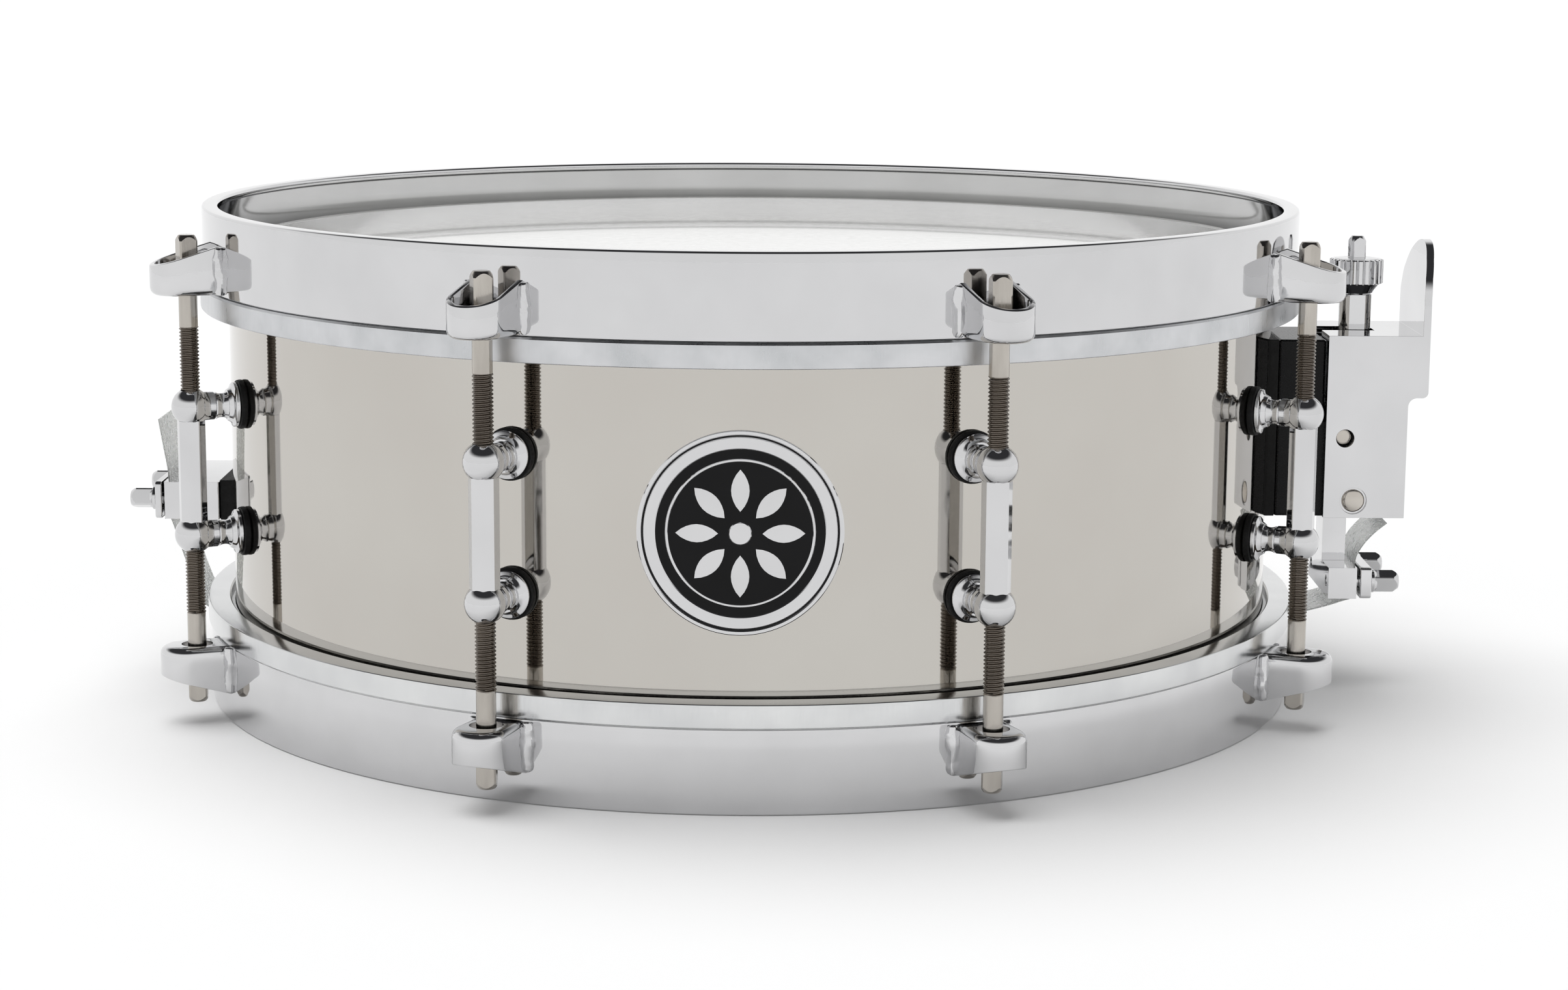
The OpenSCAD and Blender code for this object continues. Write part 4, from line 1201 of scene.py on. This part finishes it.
def plain(name, colour, roughness):
    material, _, shader = new_material(name)
    shader.inputs["Base Color"].default_value = srgb(colour)
    shader.inputs["Roughness"].default_value = roughness
    shader.inputs["Specular IOR Level"].default_value = 0.2
    return material


floor_white = plain("paper_sweep_white", "#F2F2F2", 0.9)
stage_plane("floor", (80, 80), (0, 0, 0), (0, 0), floor_white)

# %% Overhead light and the surrounding white tent
sun_data = bpy.data.lights.new("overhead_soft", "SUN")
sun_data.energy = 2.65
sun_data.angle = math.radians(60)
sun = bpy.data.objects.new("overhead_soft", sun_data)
sun.rotation_euler = (math.radians(-8), math.radians(-10), 0)
sun.visible_glossy = False
bpy.context.scene.collection.objects.link(sun)

world = bpy.data.worlds.new("tent")
bpy.context.scene.world = world
world.use_nodes = True
sky = world.node_tree
direction = add_node(sky, "ShaderNodeTexCoord").outputs["Generated"]
height = add_node(sky, "ShaderNodeSeparateXYZ", Vector=direction).outputs[2]
roof = add_node(sky, "ShaderNodeMapRange", {"interpolation_type": "SMOOTHSTEP"}, Value=height,
                From_Min=0.42, From_Max=0.72, To_Min=0.0, To_Max=1.0).outputs[0]
sky.links.new(tint(sky, roof, "#FFFFFF", "#3A3A3C"), sky.nodes["Background"].inputs["Color"])
sky.nodes["Background"].inputs["Strength"].default_value = 1.0

# %% [markdown]
# ## Camera
# A short telephoto stands about a metre away, a little above the drum, and tilts down at it.

# %% Camera
CAMERA_AT = Vector((0.0176, -1.0728, MID_Z * MM + 0.1696))
HEADING = math.radians(-0.313)
TILT = math.radians(10.02)
ROLL = math.radians(0.336)
camera_data = bpy.data.cameras.new("camera")
camera_data.sensor_width = 36
camera_data.lens = 71.58
camera = bpy.data.objects.new("camera", camera_data)
camera.location = CAMERA_AT
look = Vector((math.sin(HEADING) * math.cos(TILT), math.cos(HEADING) * math.cos(TILT), -math.sin(TILT)))
camera.rotation_mode = "QUATERNION"
camera.rotation_quaternion = look.to_track_quat("-Z", "Y") @ Quaternion((0, 0, 1), ROLL)
bpy.context.scene.collection.objects.link(camera)
bpy.context.scene.camera = camera
bpy.context.scene.view_settings.view_transform = "Standard"
